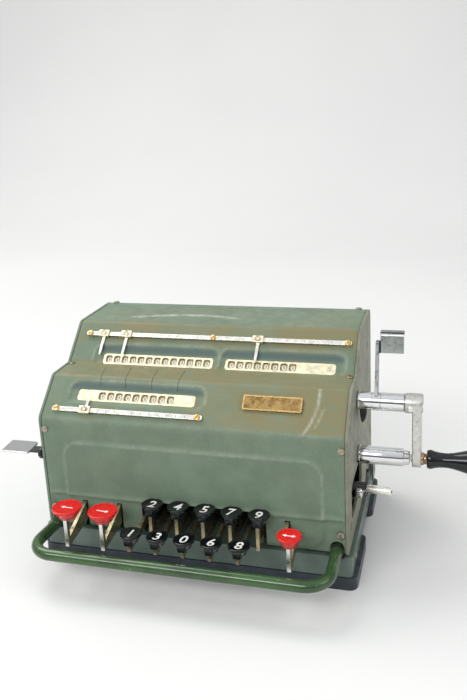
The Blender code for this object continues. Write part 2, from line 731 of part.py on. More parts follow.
def handle():
    """Turned grip with a flange, a neck and a pear-shaped end, bored for its pin."""
    length = GRIP_END - GRIP_START
    shape = [(0.00, 6.2), (0.03, 6.8), (0.06, 6.6), (0.12, 5.5), (0.19, 5.0), (0.27, 5.5),
             (0.36, 6.8), (0.46, 8.4), (0.57, 9.8), (0.68, 10.5), (0.79, 10.3),
             (0.88, 9.0), (0.95, 6.4), (0.99, 3.2)]
    outer = [(GRIP_START + share * length, radius) for share, radius in shape]
    bore = PIN_RADIUS + GAP
    profile = [(216.0, 0.0), (216.0, bore), (GRIP_START, bore), *outer, (GRIP_END, 0.0)]
    part("handle_grip", turned(profile, "x", HANDLE_AXIS, 20), "black_plastic",
         (GRIP_START, *HANDLE_AXIS), smooth=True)


def stop_post():
    """Fixed post that the crank's arm rests against at home."""
    start, end = CASE_HALF + GAP, 149.2
    profile = [(start, 0.0), (start, 7.2), (start + 1.4, 7.2), (start + 1.4, BARREL_RADIUS),
               (end - 4.5, BARREL_RADIUS), (end - 2.6, 5.2), (end - 0.6, 4.9), (end, 4.2),
               (end, 0.0)]
    part("stop_post", turned(profile, "x", HANDLE_AXIS, 20), "chrome", smooth=True)


def rotor_drum():
    """Pinwheel drum that slides along its shaft: nine discs on one sleeve."""
    first, high, low = -69.0, 16.5, 13.5
    profile = []
    for index in range(SETTING_DIGITS):
        left = first + index * DIGIT_PITCH
        profile += [(left, low), (left + 1.4, high), (left + DIGIT_PITCH - 1.4, high)]
    end = first + SETTING_DIGITS * DIGIT_PITCH
    bore = 3.5 + GAP
    profile += [(end, low), (end, bore), (first, bore)]
    part("rotor_drum", turned(profile, "x", ROTOR_AXIS, 14), "brass",
         (first, *ROTOR_AXIS))


# ---- levers ------------------------------------------------------------------------


def product_clear_lever():
    """Tall lever that turns on the crank sleeve, with a folded thumb plate."""
    pivot = (126.0, *CRANK_AXIS)
    hub = [(NECK[0] + GAP, 5.5), (NECK[0] + GAP, 6.5), (NECK[1] - GAP, 6.5),
           (NECK[1] - GAP, 5.5)]
    lever = part("product_clear_lever", turned(hub, "x", CRANK_AXIS, 20), "steel", pivot)
    y, z = CRANK_AXIS
    arm = [(y - 4.0, z + 5.75), (y + 4.0, z + 5.75), (y + 11.5, z + 41.0),
           (y + 5.6, z + 42.4), (y + 3.2, z + 34.0)]
    join(lever, tool("clear_arm", prism(arm, "x", 124.8, 127.2)))
    root = z + 33.8
    plate = [(y + 6.0, root), (y + 8.0, root), (y + 9.6, root + 12.4),
             (y + 13.4, root + 13.0), (y + 13.6, root + 14.3), (y + 8.2, root + 13.8)]
    join(lever, tool("clear_thumb", prism(plate, "x", 128.0, 144.2)))
    web = [(y + 5.4, root + 0.4), (y + 8.4, root + 0.4), (y + 9.0, root + 8.5),
           (y + 6.4, root + 8.5)]
    join(lever, tool("clear_root", prism(web, "x", 125.0, 128.6)))


def setting_clear_lever():
    """Short lever in the right-hand recess, with a cross bar for the finger."""
    y, z = KEY_PIVOT
    pivot = (104.0, y, z)
    arm = lever_outline([(40.0, 64.0), (34.0, 61.0), (36.0, 55.0)])
    lever = part("setting_clear_lever", prism(arm, "x", 102.6, 105.0), "steel", pivot)
    cut(lever, tool("setting_bore", rod(98.0, 112.0, KEY_SHAFT_RADIUS + GAP, "x",
                                        KEY_PIVOT, 16)))
    join(lever, tool("setting_stub", rod(103.5, 120.5, 3.2, "x", (38.5, 59.5), 14)))
    link = [(35.5, 53.5), (42.0, 52.0), (53.5, 66.0), (51.0, 70.0), (46.0, 70.0)]
    join(lever, tool("setting_link", prism(link, "x", 118.6, 121.4)))
    bar = rod(0.0, 20.5, 2.7, "x", (0.0, 0.0), 14)
    bar.transform(Matrix.Translation((117.4, 39.0, 57.9))
                  @ Matrix.Rotation(math.radians(-13), 4, "Z")
                  @ Matrix.Rotation(math.radians(-4), 4, "Y"))
    join(lever, tool("setting_bar", bar))
    join(lever, tool("setting_knob", rod(114.6, 119.2, 4.2, "x", (37.0, 55.8), 12)))


def counter_clear_lever():
    """Lever on the left side, with a flat thumb plate that is pressed down."""
    y, z = COUNTER_LEVER_AXIS
    pivot = (-116.0, y, z)
    inner = CASE_HALF - PLATE
    lever = part("counter_clear_lever", rod(-118.4, -inner + 4.0, 5.0, "x", (y, z), 20),
                 "steel", pivot)
    arm = arc((y, z), 7.0, -70, 70, 6)
    arm += [(8.0, 86.0), (3.0, 84.2), (4.5, 77.5)]
    join(lever, tool("counter_arm", prism(arm, "x", -118.2, -115.4)))
    plate = [(0.0, 82.6), (17.0, 83.4), (17.0, 84.9), (0.0, 84.1)]
    join(lever, tool("counter_thumb", prism(plate, "x", -147.0, -116.5)))


base_frame()
foot("foot_front", BASE_FRONT - FOOT_RIM, 54.0)
foot("foot_rear", BASE_BACK + FOOT_RIM, 94.0)
guard_bar()
front_cover()
rear_cover()
side_plates()
window_plates()
rails()
sliders()
name_plate()
registers()
keys()
crank()
stop_post()
rotor_drum()
product_clear_lever()
setting_clear_lever()
counter_clear_lever()
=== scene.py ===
"""Looks for the hand-cranked adding machine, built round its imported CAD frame.

Shapes are drawn in millimetres in the machine's own frame, which is taken from the
frame's boxes: X across the case from its middle, Y from the front wall to the back, and
Z up from 28.2 mm below the covers' lower edge.  TO_ROW turns it into the row frame.
"""
import json
import math

import bmesh
import bpy
from mathutils import Matrix, Vector, noise


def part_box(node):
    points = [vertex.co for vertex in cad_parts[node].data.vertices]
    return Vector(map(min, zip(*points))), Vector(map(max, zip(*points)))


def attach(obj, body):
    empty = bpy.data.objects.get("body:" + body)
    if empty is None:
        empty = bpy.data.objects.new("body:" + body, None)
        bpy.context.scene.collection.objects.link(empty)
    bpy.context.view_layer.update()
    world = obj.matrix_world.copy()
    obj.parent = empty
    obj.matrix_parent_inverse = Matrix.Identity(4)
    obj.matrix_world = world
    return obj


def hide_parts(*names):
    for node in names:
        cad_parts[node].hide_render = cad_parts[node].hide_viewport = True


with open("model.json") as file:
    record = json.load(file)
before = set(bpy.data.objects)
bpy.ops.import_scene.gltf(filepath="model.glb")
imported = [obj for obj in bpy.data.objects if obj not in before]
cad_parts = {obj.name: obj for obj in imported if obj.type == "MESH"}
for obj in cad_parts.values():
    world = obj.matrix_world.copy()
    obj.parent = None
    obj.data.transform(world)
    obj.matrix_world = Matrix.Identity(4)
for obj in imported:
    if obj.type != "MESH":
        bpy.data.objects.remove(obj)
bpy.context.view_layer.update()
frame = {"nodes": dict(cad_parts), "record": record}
JOINTS = {joint["name"]: joint for joint in frame["record"]["behaviour"]["joints"]}

# ---- driving dimensions, in millimetres ----------------------------------------------
MM = 0.001
COVER_FOOT = 28.2
LEFT_PLATE, RIGHT_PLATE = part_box("side_plate_left"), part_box("side_plate_right")
ORIGIN = Vector(((LEFT_PLATE[0].x + RIGHT_PLATE[1].x) / 2, RIGHT_PLATE[0].y,
                 RIGHT_PLATE[0].z - COVER_FOOT * MM))
TO_ROW = Matrix.Translation(ORIGIN) @ Matrix.Scale(MM, 4)
FROM_ROW = TO_ROW.inverted()

CASE_HALF = (RIGHT_PLATE[1].x - LEFT_PLATE[0].x) / 2 / MM
PLATE = (RIGHT_PLATE[1].x - RIGHT_PLATE[0].x) / MM
GAP = 0.3
COVER_HALF = CASE_HALF - PLATE - GAP
SHEET = 1.6
FRONT_BEND, STEP_FRONT = (0.0, 113.0), (26.9, 137.2)
STEP_CREASE, TOP_FRONT, TOP_BACK = (52.5, 137.2), (80.2, 162.5), (140.0, 162.5)
COVER_SPLIT = 126.0
BEND, CREASE = 6.0, 0.8
PITCH = 6.6                     # of the numeral wheels
BEAD_Z = 54.3                   # height of the bead across the front wall


def machine_box(node):
    """A CAD node's lowest and highest corner in machine millimetres."""
    low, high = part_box(node)
    return FROM_ROW @ low, FROM_ROW @ high


def hinge_centre(joint):
    """(y, z) of a hinge that runs along X, in machine millimetres."""
    point = FROM_ROW @ Vector(JOINTS[joint]["pos_m"])
    return point.y, point.z


CRANK = hinge_centre("crank_turn")
HANDLE = hinge_centre("handle_spin")


# ---- shapes --------------------------------------------------------------------------

def slope(low, high):
    """Frame on a sloping face: x across, second axis up the slope, third outwards."""
    run = Vector((0.0, high[0] - low[0], high[1] - low[1])).normalized()
    return Matrix(((1, 0, 0, 0), (0, run.y, -run.z, low[0]), (0, run.z, run.y, low[1]),
                   (0, 0, 0, 1)))


LOWER_FACE, UPPER_FACE = slope(FRONT_BEND, STEP_FRONT), slope(STEP_CREASE, TOP_FRONT)


def gathered(*shapes):
    """One bmesh with the faces of all the shapes, which are freed."""
    whole = bmesh.new()
    for shape in shapes:
        mesh = bpy.data.meshes.new("piece")
        shape.to_mesh(mesh)
        shape.free()
        whole.from_mesh(mesh)
        bpy.data.meshes.remove(mesh)
    return whole


def skinned(rings):
    """Closed solid over rings of points, all listed the same way round."""
    shape = bmesh.new()
    rings = [[shape.verts.new(point) for point in ring] for ring in rings]
    shape.faces.new(rings[0])
    shape.faces.new(rings[-1])
    for first, second in zip(rings, rings[1:]):
        for index in range(len(first)):
            after = (index + 1) % len(first)
            shape.faces.new((first[index], first[after], second[after], second[index]))
    bmesh.ops.recalc_face_normals(shape, faces=shape.faces)
    return shape


def prism(outline, axis, low, high, frame_matrix=None):
    """Closed outline drawn across an axis and extruded along it."""
    place = {"x": lambda a, b, h: (h, a, b), "y": lambda a, b, h: (a, h, b),
             "z": lambda a, b, h: (a, b, h)}[axis]
    shape = skinned([[place(a, b, h) for a, b in outline] for h in (low, high)])
    if frame_matrix:
        shape.transform(frame_matrix)
    return shape


def box(low, high, frame_matrix=None):
    outline = [(low[0], low[1]), (high[0], low[1]), (high[0], high[1]), (low[0], high[1])]
    return prism(outline, "z", low[2], high[2], frame_matrix)


def turned(profile, axis, centre, segments=48, frame_matrix=None):
    """Solid turned about an axis from (along, radius) points that start and end on it,
    or from a closed loop of them."""
    place = {"x": lambda h, c, s: (h, centre[0] + c, centre[1] + s),
             "y": lambda h, c, s: (centre[0] + c, h, centre[1] + s),
             "z": lambda h, c, s: (centre[0] + c, centre[1] + s, h)}[axis]
    shape = bmesh.new()
    rings = []
    for along, radius in profile:
        count = segments if radius > 0 else 1
        turns = [2 * math.pi * index / segments for index in range(count)]
        rings.append([shape.verts.new(place(along, radius * math.cos(t),
                                            radius * math.sin(t))) for t in turns])
    pairs = list(zip(rings, rings[1:]))
    if len(rings[0]) > 1:
        pairs.append((rings[-1], rings[0]))
    for first, second in pairs:
        for index in range(segments):
            after = (index + 1) % segments
            corners = [first[index % len(first)], first[after % len(first)],
                       second[after % len(second)], second[index % len(second)]]
            shape.faces.new(list(dict.fromkeys(corners)))
    bmesh.ops.recalc_face_normals(shape, faces=shape.faces)
    if frame_matrix:
        shape.transform(frame_matrix)
    return shape


def rod(start, end, radius):
    """Profile of a plain round bar, for turned."""
    return [(start, 0), (start, radius), (end, radius), (end, 0)]


def arc(centre, radius, start, end, steps):
    angles = [math.radians(start + (end - start) * i / steps) for i in range(steps + 1)]
    return [(centre[0] + radius * math.cos(a), centre[1] + radius * math.sin(a))
            for a in angles]


def rounded(low, high, radius, steps=6):
    """Rounded rectangle."""
    (left, bottom), (right, top) = low, high
    return (arc((right - radius, top - radius), radius, 0, 90, steps)
            + arc((left + radius, top - radius), radius, 90, 180, steps)
            + arc((left + radius, bottom + radius), radius, 180, 270, steps)
            + arc((right - radius, bottom + radius), radius, 270, 360, steps))


def pill(x, y, half_x, half_y, radius):
    """Rounded rectangle round a centre."""
    return rounded((x - half_x, y - half_y), (x + half_x, y + half_y), radius)


def filleted(points, radii, steps=8):
    """Open polyline with its inner corners rounded."""
    out = [Vector(points[0])]
    for index in range(1, len(points) - 1):
        corner, radius = Vector(points[index]), radii[index - 1]
        before = (Vector(points[index - 1]) - corner).normalized()
        after = (Vector(points[index + 1]) - corner).normalized()
        half = before.angle(after) / 2
        middle = corner + (before + after).normalized() * radius / math.sin(half)
        first = corner + before * radius / math.tan(half) - middle
        turn = first.angle_signed(corner + after * radius / math.tan(half) - middle)
        for step in range(steps + 1):
            out.append(middle + first @ Matrix.Rotation(turn * step / steps, 2))
    out.append(Vector(points[-1]))
    return out


def smoothstep(low, high, value):
    share = min(max((value - low) / (high - low), 0.0), 1.0)
    return share * share * (3 - 2 * share)


def band(low, high, edge, value):
    """1 between low and high, with soft edges outside them."""
    return smoothstep(low - edge, low, value) * (1 - smoothstep(high, high + edge, value))


def runs(points):
    """Each point of a polyline with the direction the line runs in there."""
    made = []
    for index, point in enumerate(points):
        before, after = points[max(index - 1, 0)], points[min(index + 1, len(points) - 1)]
        made.append((point, (after - before).normalized()))
    return made


def ridge(distance, width):
    """1 at no distance, falling away smoothly over the width."""
    return math.exp(-(distance / width) ** 2)


def tube(points, radius, segments):
    """Round bar along a polyline, with flat ends."""
    turns = [2 * math.pi * i / segments for i in range(segments)]
    rings = []
    for point, along in runs([Vector(p) for p in points]):
        side = along.cross(Vector((0, 0, 1))).normalized()
        rise = side.cross(along)
        rings.append([point + radius * (side * math.cos(t) + rise * math.sin(t))
                      for t in turns])
    return skinned(rings)


# ---- materials -----------------------------------------------------------------------

class Nodes:
    """Short ways to add shader nodes to one material."""

    def __init__(self, name, roughness=0.5, metallic=0.0, **sockets):
        self.material = bpy.data.materials.new(name)
        self.material.use_nodes = True
        self.tree = self.material.node_tree
        self.shader = self.tree.nodes["Principled BSDF"]
        self.feed_all(self.shader, Roughness=roughness, Metallic=metallic, **sockets)
        self.place = self.node("TexCoord", "Object")

    def feed(self, socket, value):
        """Links another node's socket, or sets a number; a colour is three numbers."""
        if isinstance(value, bpy.types.NodeSocket):
            self.tree.links.new(value, socket)
        else:
            socket.default_value = (*value, 1.0) if socket.type == "RGBA" else value

    def feed_all(self, node, **inputs):
        """Feeds inputs by name, with _ for a space."""
        for name, value in inputs.items():
            self.feed(node.inputs[name.replace("_", " ")], value)

    def node(self, kind, output, **inputs):
        made = self.tree.nodes.new(f"ShaderNode{kind}")
        self.feed_all(made, **inputs)
        return made.outputs[output]

    def stretched(self, scale):
        return self.node("Mapping", "Vector", Scale=scale, Vector=self.place)

    def noise(self, scale, detail=3.0, roughness=0.5, vector=None, distortion=0.0):
        return self.node("TexNoise", "Fac", Scale=scale, Detail=detail, Roughness=roughness,
                         Distortion=distortion, Vector=vector or self.place)

    def cells(self, scale):
        return self.node("TexVoronoi", "Distance", Scale=scale, Vector=self.place)

    def ramp(self, value, low, high, first=0.0, last=1.0):
        node = self.tree.nodes.new("ShaderNodeMapRange")
        node.interpolation_type = "SMOOTHSTEP"
        self.feed_all(node, Value=value, From_Min=low, From_Max=high, To_Min=first, To_Max=last)
        return node.outputs["Result"]

    def math(self, operation, first, second):
        node = self.tree.nodes.new("ShaderNodeMath")
        node.operation = operation
        self.feed(node.inputs[0], first)
        self.feed(node.inputs[1], second)
        return node.outputs["Value"]

    def mix(self, share, first, second):
        """Colour mix; each colour is a tuple or a socket."""
        node = self.tree.nodes.new("ShaderNodeMix")
        node.data_type = "RGBA"
        colours = [s for s in node.inputs if s.type == "RGBA"]
        for socket, value in zip((node.inputs[0], *colours), (share, first, second)):
            self.feed(socket, value)
        return [s for s in node.outputs if s.type == "RGBA"][0]

    def attribute(self, name):
        node = self.tree.nodes.new("ShaderNodeAttribute")
        node.attribute_name = name
        return node.outputs["Fac"]

    def bump(self, height, strength, distance_mm):
        normal = self.node("Bump", "Normal", Strength=strength, Distance=distance_mm * MM,
                           Height=height)
        self.feed_all(self.shader, Normal=normal)

    def finish(self, colour, roughness=None):
        self.feed_all(self.shader, Base_Color=colour)
        if roughness is not None:
            self.feed_all(self.shader, Roughness=roughness)
        return self.material


PAINT = (0.168, 0.228, 0.162)
PAINT_DARK = (0.138, 0.192, 0.134)
OLIVE = (0.205, 0.188, 0.095)
# painted shade: dark grey-green for the upper edge inside the window recesses
PAINTED_SHADE = (0.072, 0.112, 0.104)
# pale paint for rubbed marks and scratches, also used for painted highlights along edges and bends
RUBBED_AND_HIGHLIGHT = (0.52, 0.53, 0.44)
# brighter, warmer copy of the case paint for the right plate: painted light on that side
LIT_SIDE, LIT_SIDE_DARK = (0.250, 0.250, 0.185), (0.170, 0.172, 0.124)


def wrinkle_paint(name, worn=False, light=PAINT, dark=PAINT_DARK):
    """Grey-green wrinkle finish, mottled; worn=True reads what is painted on the mesh: the wear,
    the rubbed marks with painted highlights, and painted shade in the window recesses.
    """
    n = Nodes(name, roughness=0.48, Specular_IOR_Level=0.30)
    mottle = n.ramp(n.noise(42, 5, 0.6), 0.35, 0.68)
    colour = n.mix(mottle, dark, light)
    speckle = n.ramp(n.noise(900, 2, 0.6), 0.56, 0.75, 0.0, 0.55)
    colour = n.mix(speckle, colour, tuple(1.35 * c for c in light))
    rough = n.ramp(n.noise(120, 3), 0.3, 0.7, 0.40, 0.56)
    if worn:
        streaks = n.noise(140, 6, 0.7, n.stretched((0.35, 1.0, 1.0)), 0.6)
        patch = n.math("MULTIPLY", n.attribute("wear"), n.ramp(streaks, 0.15, 0.62))
        colour = n.mix(patch, colour, OLIVE)
        # Painted shade along the upper edge inside the window recesses.
        colour = n.mix(n.attribute("painted_shade"), colour, PAINTED_SHADE)
        # Pale paint from the mesh: rubbed marks, and painted highlights along bends and edges.
        scuff_and_highlight = n.math("MULTIPLY", n.attribute("scuff_and_highlight"), n.ramp(n.noise(260, 4, 0.7), 0.22, 0.62))
        colour = n.mix(scuff_and_highlight, colour, RUBBED_AND_HIGHLIGHT)
    scratches = n.noise(70, 8, 0.8, n.stretched((0.25, 2.2, 2.2)), 0.9)
    colour = n.mix(n.ramp(scratches, 0.735, 0.76, 0.0, 0.45), colour, RUBBED_AND_HIGHLIGHT)
    height = n.math("ADD", n.cells(1500), n.math("MULTIPLY", n.noise(1900, 3, 0.7), 0.8))
    n.bump(height, 0.30, 0.16)
    return n.finish(colour, rough)


def smooth_paint(name, base, dark, roughness, chips):
    """Smooth enamel with a little orange peel and rubbed chips."""
    n = Nodes(name, roughness=roughness, Coat_Weight=0.25, Coat_Roughness=0.12)
    colour = n.mix(n.ramp(n.noise(60, 4), 0.35, 0.65), dark, base)
    worn = n.ramp(n.noise(170, 7, 0.75, n.stretched((0.5, 1.0, 1.0))), 0.64, 0.70, 0.0, chips)
    colour = n.mix(worn, colour, (0.42, 0.42, 0.30))
    n.bump(n.noise(700, 2), 0.12, 0.10)
    return n.finish(colour, n.ramp(n.noise(90, 3), 0.3, 0.7, roughness * 0.75, roughness * 1.4))


def plated(name, base, tarnish, roughness, amount, brushed=(1.0, 1.0, 1.0), low=0.55):
    """Bright or worn plated metal with tarnish in patches and fine brush marks."""
    n = Nodes(name, roughness=roughness, metallic=1.0)
    patch = n.ramp(n.noise(180, 7, 0.7), low, low + 0.16, 0.0, amount)
    colour = n.mix(patch, base, tarnish)
    rough = n.math("ADD", n.ramp(n.noise(240, 4), 0.3, 0.7, roughness * 0.7, roughness * 1.3),
                   n.math("MULTIPLY", patch, 0.3))
    n.bump(n.noise(900, 3, 0.6, n.stretched(brushed)), 0.08, 0.05)
    return n.finish(colour, rough)


def moulded(name, colour, bright, roughness):
    """Glossy moulded plastic with faint handling marks."""
    n = Nodes(name, roughness=roughness, Specular_IOR_Level=0.42, Coat_Weight=0.15,
              Coat_Roughness=0.05)
    tone = n.mix(n.ramp(n.noise(200, 5, 0.7), 0.45, 0.75), colour, bright)
    n.bump(n.noise(500, 2), 0.05, 0.08)
    return n.finish(tone, n.ramp(n.noise(320, 4), 0.35, 0.7, roughness * 0.8, roughness * 1.6))


def pitted_steel(name):
    """Worn nickel over steel, speckled with dark pits."""
    n = Nodes(name, roughness=0.34, metallic=1.0)
    pits = n.ramp(n.noise(620, 5, 0.7), 0.56, 0.66, 0.0, 0.75)
    colour = n.mix(pits, (0.66, 0.65, 0.62), (0.22, 0.20, 0.17))
    n.bump(n.noise(620, 5, 0.7), 0.25, 0.10)
    return n.finish(colour, n.ramp(n.noise(200, 4), 0.3, 0.7, 0.25, 0.5))


def wheel_paint(name):
    n = Nodes(name, roughness=0.5)
    return n.finish(n.mix(n.ramp(n.noise(300, 4), 0.35, 0.7), (0.360, 0.300, 0.175),
                          (0.500, 0.430, 0.270)))


M = {
    "case": wrinkle_paint("case_wrinkle_paint"),
    "case_lit_side": wrinkle_paint("case_wrinkle_paint_lit_side", light=LIT_SIDE, dark=LIT_SIDE_DARK),
    # front cover paint: wear, plus painted shade and painted highlights read from the mesh
    "case_worn_and_painted_light": wrinkle_paint("case_wrinkle_paint_worn_and_painted_light", worn=True),
    "base": smooth_paint("base_paint", (0.105, 0.148, 0.125), (0.075, 0.110, 0.092), 0.38, 0.35),
    "bar": smooth_paint("bar_enamel", (0.040, 0.098, 0.026), (0.022, 0.060, 0.015), 0.20, 0.85),
    "rubber": smooth_paint("foot_rubber", (0.028, 0.040, 0.052), (0.016, 0.024, 0.034), 0.55, 0.05),
    "chrome": plated("chrome_plate", (0.80, 0.80, 0.80), (0.46, 0.40, 0.30), 0.09, 0.30, low=0.62),
    "nickel": plated("nickel_plate", (0.95, 0.92, 0.85), (0.46, 0.30, 0.17), 0.28, 0.50,
                     (1.0, 8.0, 8.0)),
    "stem": plated("stem_nickel", (0.74, 0.73, 0.68), (0.34, 0.28, 0.18), 0.30, 0.6,
                   (1.0, 1.0, 6.0)),
    "lever": plated("lever_brass", (0.46, 0.39, 0.25), (0.18, 0.13, 0.07), 0.34, 0.7,
                    (1.0, 1.0, 6.0)),
    "steel": plated("lever_steel", (0.50, 0.47, 0.40), (0.20, 0.16, 0.10), 0.30, 0.6,
                    (1.0, 1.0, 6.0)),
    "screw": plated("screw_steel", (0.40, 0.35, 0.27), (0.16, 0.11, 0.06), 0.34, 0.7),
    "thumb": plated("thumb_nickel", (0.44, 0.46, 0.44), (0.28, 0.26, 0.23), 0.34, 0.4),
    "pitted": pitted_steel("pitted_nickel"),
    "brass": plated("old_brass", (0.88, 0.78, 0.58), (0.46, 0.30, 0.14), 0.30, 0.6),
    "window": plated("window_brass", (0.92, 0.85, 0.61), (0.60, 0.51, 0.31), 0.36, 0.55,
                     (6.0, 1.0, 1.0), low=0.5),
    "copper": plated("copper_wash", (0.50, 0.31, 0.19), (0.18, 0.10, 0.06), 0.32, 0.6),
    "plate_rim": plated("name_rim", (0.72, 0.48, 0.20), (0.40, 0.24, 0.09), 0.30, 0.6),
    "plate_field": plated("name_field", (0.42, 0.28, 0.11), (0.20, 0.13, 0.05), 0.40, 0.8,
                          low=0.42),
    "black": moulded("black_plastic", (0.004, 0.005, 0.006), (0.012, 0.014, 0.018), 0.10),
    "red": moulded("red_plastic", (0.66, 0.004, 0.005), (0.70, 0.018, 0.014), 0.24),
    "white": moulded("white_inlay", (0.86, 0.85, 0.80), (0.70, 0.68, 0.61), 0.35),
    "wheel": wheel_paint("wheel_enamel"),
    "dark": moulded("dark_steel", (0.012, 0.012, 0.013), (0.030, 0.028, 0.026), 0.40),
    "catch": moulded("dark_green_catch", (0.020, 0.034, 0.018), (0.034, 0.052, 0.030), 0.35),
    "scribe": moulded("scribed_line", (0.022, 0.030, 0.020), (0.040, 0.050, 0.034), 0.60),
}


# ---- placing pieces ------------------------------------------------------------------

def linked(name, data):
    """A new object in the scene."""
    made = bpy.data.objects.new(name, data)
    bpy.context.scene.collection.objects.link(made)
    return made


def as_object(name, shape):
    """A new object from a bmesh, which is freed."""
    mesh = bpy.data.meshes.new(name)
    shape.to_mesh(mesh)
    shape.free()
    return linked(name, mesh)


def discard(piece):
    mesh = piece.data
    bpy.data.objects.remove(piece)
    bpy.data.meshes.remove(mesh)


def as_drawn(piece, **options):
    """A new mesh of an object with its modifiers applied."""
    bpy.context.view_layer.update()
    graph = bpy.context.evaluated_depsgraph_get()
    return bpy.data.meshes.new_from_object(piece.evaluated_get(graph), depsgraph=graph,
                                           **options)


def taken_up(mesh):
    """A bmesh of a mesh, which is removed."""
    shape = bmesh.new()
    shape.from_mesh(mesh)
    bpy.data.meshes.remove(mesh)
    return shape


def cut_by(piece, cutter):
    modifier = piece.modifiers.new("openings", "BOOLEAN")
    modifier.object = cutter
    modifier.operation = "DIFFERENCE"
    modifier.solver = "EXACT"
    return modifier


def smooth(piece, angle):
    piece.data.shade_smooth()
    piece.data.set_sharp_from_angle(angle=math.radians(angle))


def put(name, shape, finish, body="chassis", stands_for=(), bevel=0.0, angle=35, steps=2):
    """A piece from a bmesh in machine millimetres, riding on a body."""
    shape.transform(TO_ROW)
    piece = as_object(name, shape)
    piece.data.materials.append(M[finish])
    smooth(piece, angle)
    if bevel:
        rounded_edges(piece, bevel, steps)
    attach(piece, body)
    if stands_for:
        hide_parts(*stands_for)
    return piece


def rounded_edges(piece, width, steps=2):
    modifier = piece.modifiers.new("soft_edges", "BEVEL")
    modifier.width = width * MM
    modifier.segments = steps
    modifier.limit_method = "ANGLE"
    modifier.angle_limit = math.radians(34)
    modifier.harden_normals = True


def dress(node, finish, bevel=0.25):
    """Finish a CAD node that is shown as it is."""
    piece = frame["nodes"][node]
    if not piece.data.materials:
        piece.data.materials.append(M[finish])
    for index in range(len(piece.data.materials)):
        piece.data.materials[index] = M[finish]
    if bevel:
        rounded_edges(piece, bevel)


def subtract(piece, cutter_shape):
    """Cuts a shape in machine millimetres out of a piece, at once."""
    cutter_shape.transform(TO_ROW)
    cutter = as_object("cutter", cutter_shape)
    modifier = cut_by(piece, cutter)
    others = [m for m in piece.modifiers if m != modifier]
    for other in others:
        other.show_viewport = False
    made = as_drawn(piece, preserve_all_data_layers=True)
    piece.modifiers.remove(modifier)
    for other in others:
        other.show_viewport = True
    old = piece.data
    piece.data = made
    bpy.data.meshes.remove(old)
    discard(cutter)


def screw_head(x, y, z, radius, normal, turn, height=1.0, slot=0.5):
    """Slotted cheese head standing on a face with the given outward normal."""
    profile = [(0.0, 0.0), (0.0, radius), (height * 0.55, radius), (height * 0.85, radius * 0.9),
               (height, radius * 0.68), (height * 1.04, 0.0)]
    head = turned(profile, "z", (0.0, 0.0), 28)
    half = slot / 2
    slot_shape = box((-radius * 1.1, -half, height * 0.45), (radius * 1.1, half, height * 2))
    head = difference(head, slot_shape)
    rotation = Vector(normal).to_track_quat("Z", "Y").to_matrix().to_4x4()
    head.transform(Matrix.Translation((x, y, z)) @ rotation
                   @ Matrix.Rotation(math.radians(turn), 4, "Z"))
    return head


def difference(shape, cutter):
    """shape minus cutter, both bmeshes; the answer is a new bmesh."""
    whole, tool = as_object("whole", shape), as_object("tool", cutter)
    cut_by(whole, tool)
    result = taken_up(as_drawn(whole))
    discard(whole)
    discard(tool)
    return result


def glyph(text, height, thickness, shear=0.0, bold=0.0):
    """Text as a flat bmesh centred on the origin, upright along +Y, facing +Z."""
    curve = bpy.data.curves.new("glyph", "FONT")
    curve.body = text
    curve.shear = shear
    curve.offset = bold
    curve.extrude = 0.05
    curve.resolution_u = 4
    holder = linked("glyph", curve)
    shape = taken_up(as_drawn(holder))
    bpy.data.objects.remove(holder)
    bpy.data.curves.remove(curve)
    bmesh.ops.remove_doubles(shape, verts=shape.verts, dist=0.0005)
    low = [min(v.co[i] for v in shape.verts) for i in range(3)]
    high = [max(v.co[i] for v in shape.verts) for i in range(3)]
    scale = height / (high[1] - low[1])
    for vert in shape.verts:
        vert.co.x = (vert.co.x - (low[0] + high[0]) / 2) * scale
        vert.co.y = (vert.co.y - (low[1] + high[1]) / 2) * scale
        vert.co.z = thickness if vert.co.z > 0 else 0.0
    return shape


# ---- case ----------------------------------------------------------------------------

def rectangle_distance(x, y, low, high, radius):
    """Signed distance to a rounded rectangle: negative inside."""
    dx = abs(x - (low[0] + high[0]) / 2) - (high[0] - low[0]) / 2 + radius
    dy = abs(y - (low[1] + high[1]) / 2) - (high[1] - low[1]) / 2 + radius
    outside = math.hypot(max(dx, 0.0), max(dy, 0.0))
    return outside + min(max(dx, dy), 0.0) - radius


PANEL = ((-95.0, 30.0), (96.0, 96.5), 13.0)     # pressed panel on the front wall
RECESS_CORNER = 7.0
RECESSES = (                    # pressed hollows round the windows: face, corners, depth
    (UPPER_FACE, (-91.0, -8.0), (8.6, 17.5), 1.25, (-0.4, 1.0)),
    (UPPER_FACE, (10.4, -8.0), (103.6, 17.5), 1.25, (-0.4, 1.0)),
    (LOWER_FACE, (-93.5, 12.0), (10.0, 32.0), 1.25, (13.0, 16.5)),
)
NAME_LOW, NAME_HIGH = (38.6, 16.4), (80.2, 27.6)


def on_face(face, x, y, z):
    """(v, w) of a point by a sloping face: up the slope, and out from it."""
    local = face.inverted() @ Vector((x, y, z))
    return (local.y, local.z)


def pressing(x, y, z):
    """Height of the cover's pressed relief above its plain surface."""
    height = 0.0
    if y < 1.0:
        panel = rectangle_distance(x, z, *PANEL)
        height += 1.5 * (1 - smoothstep(-1.1, 1.1, panel))
        height += 0.9 * ridge(z - BEAD_Z, 1.1)
        height -= 1.5 * (1 - smoothstep(BEAD_Z - 3.0, BEAD_Z - 1.0, z))
        return height
    for face, low, high, depth, fade in RECESSES:
        v, w = on_face(face, x, y, z)
        if abs(w) > 1.5:
            continue
        edge = rectangle_distance(x, v, low, high, RECESS_CORNER)
        inside = 1 - smoothstep(-2.6, 0.6, edge)
        height -= depth * inside * smoothstep(fade[0], fade[1], v)
    v, w = on_face(LOWER_FACE, x, y, z)
    if abs(w) < 1.5:
        rim = rectangle_distance(x, v, (NAME_LOW[0] - 1.8, NAME_LOW[1] - 1.8),
                                 (NAME_HIGH[0] + 1.8, NAME_HIGH[1] + 1.8), 2.6)
        height -= 0.45 * (1 - smoothstep(-0.8, 0.8, rim))
    return height


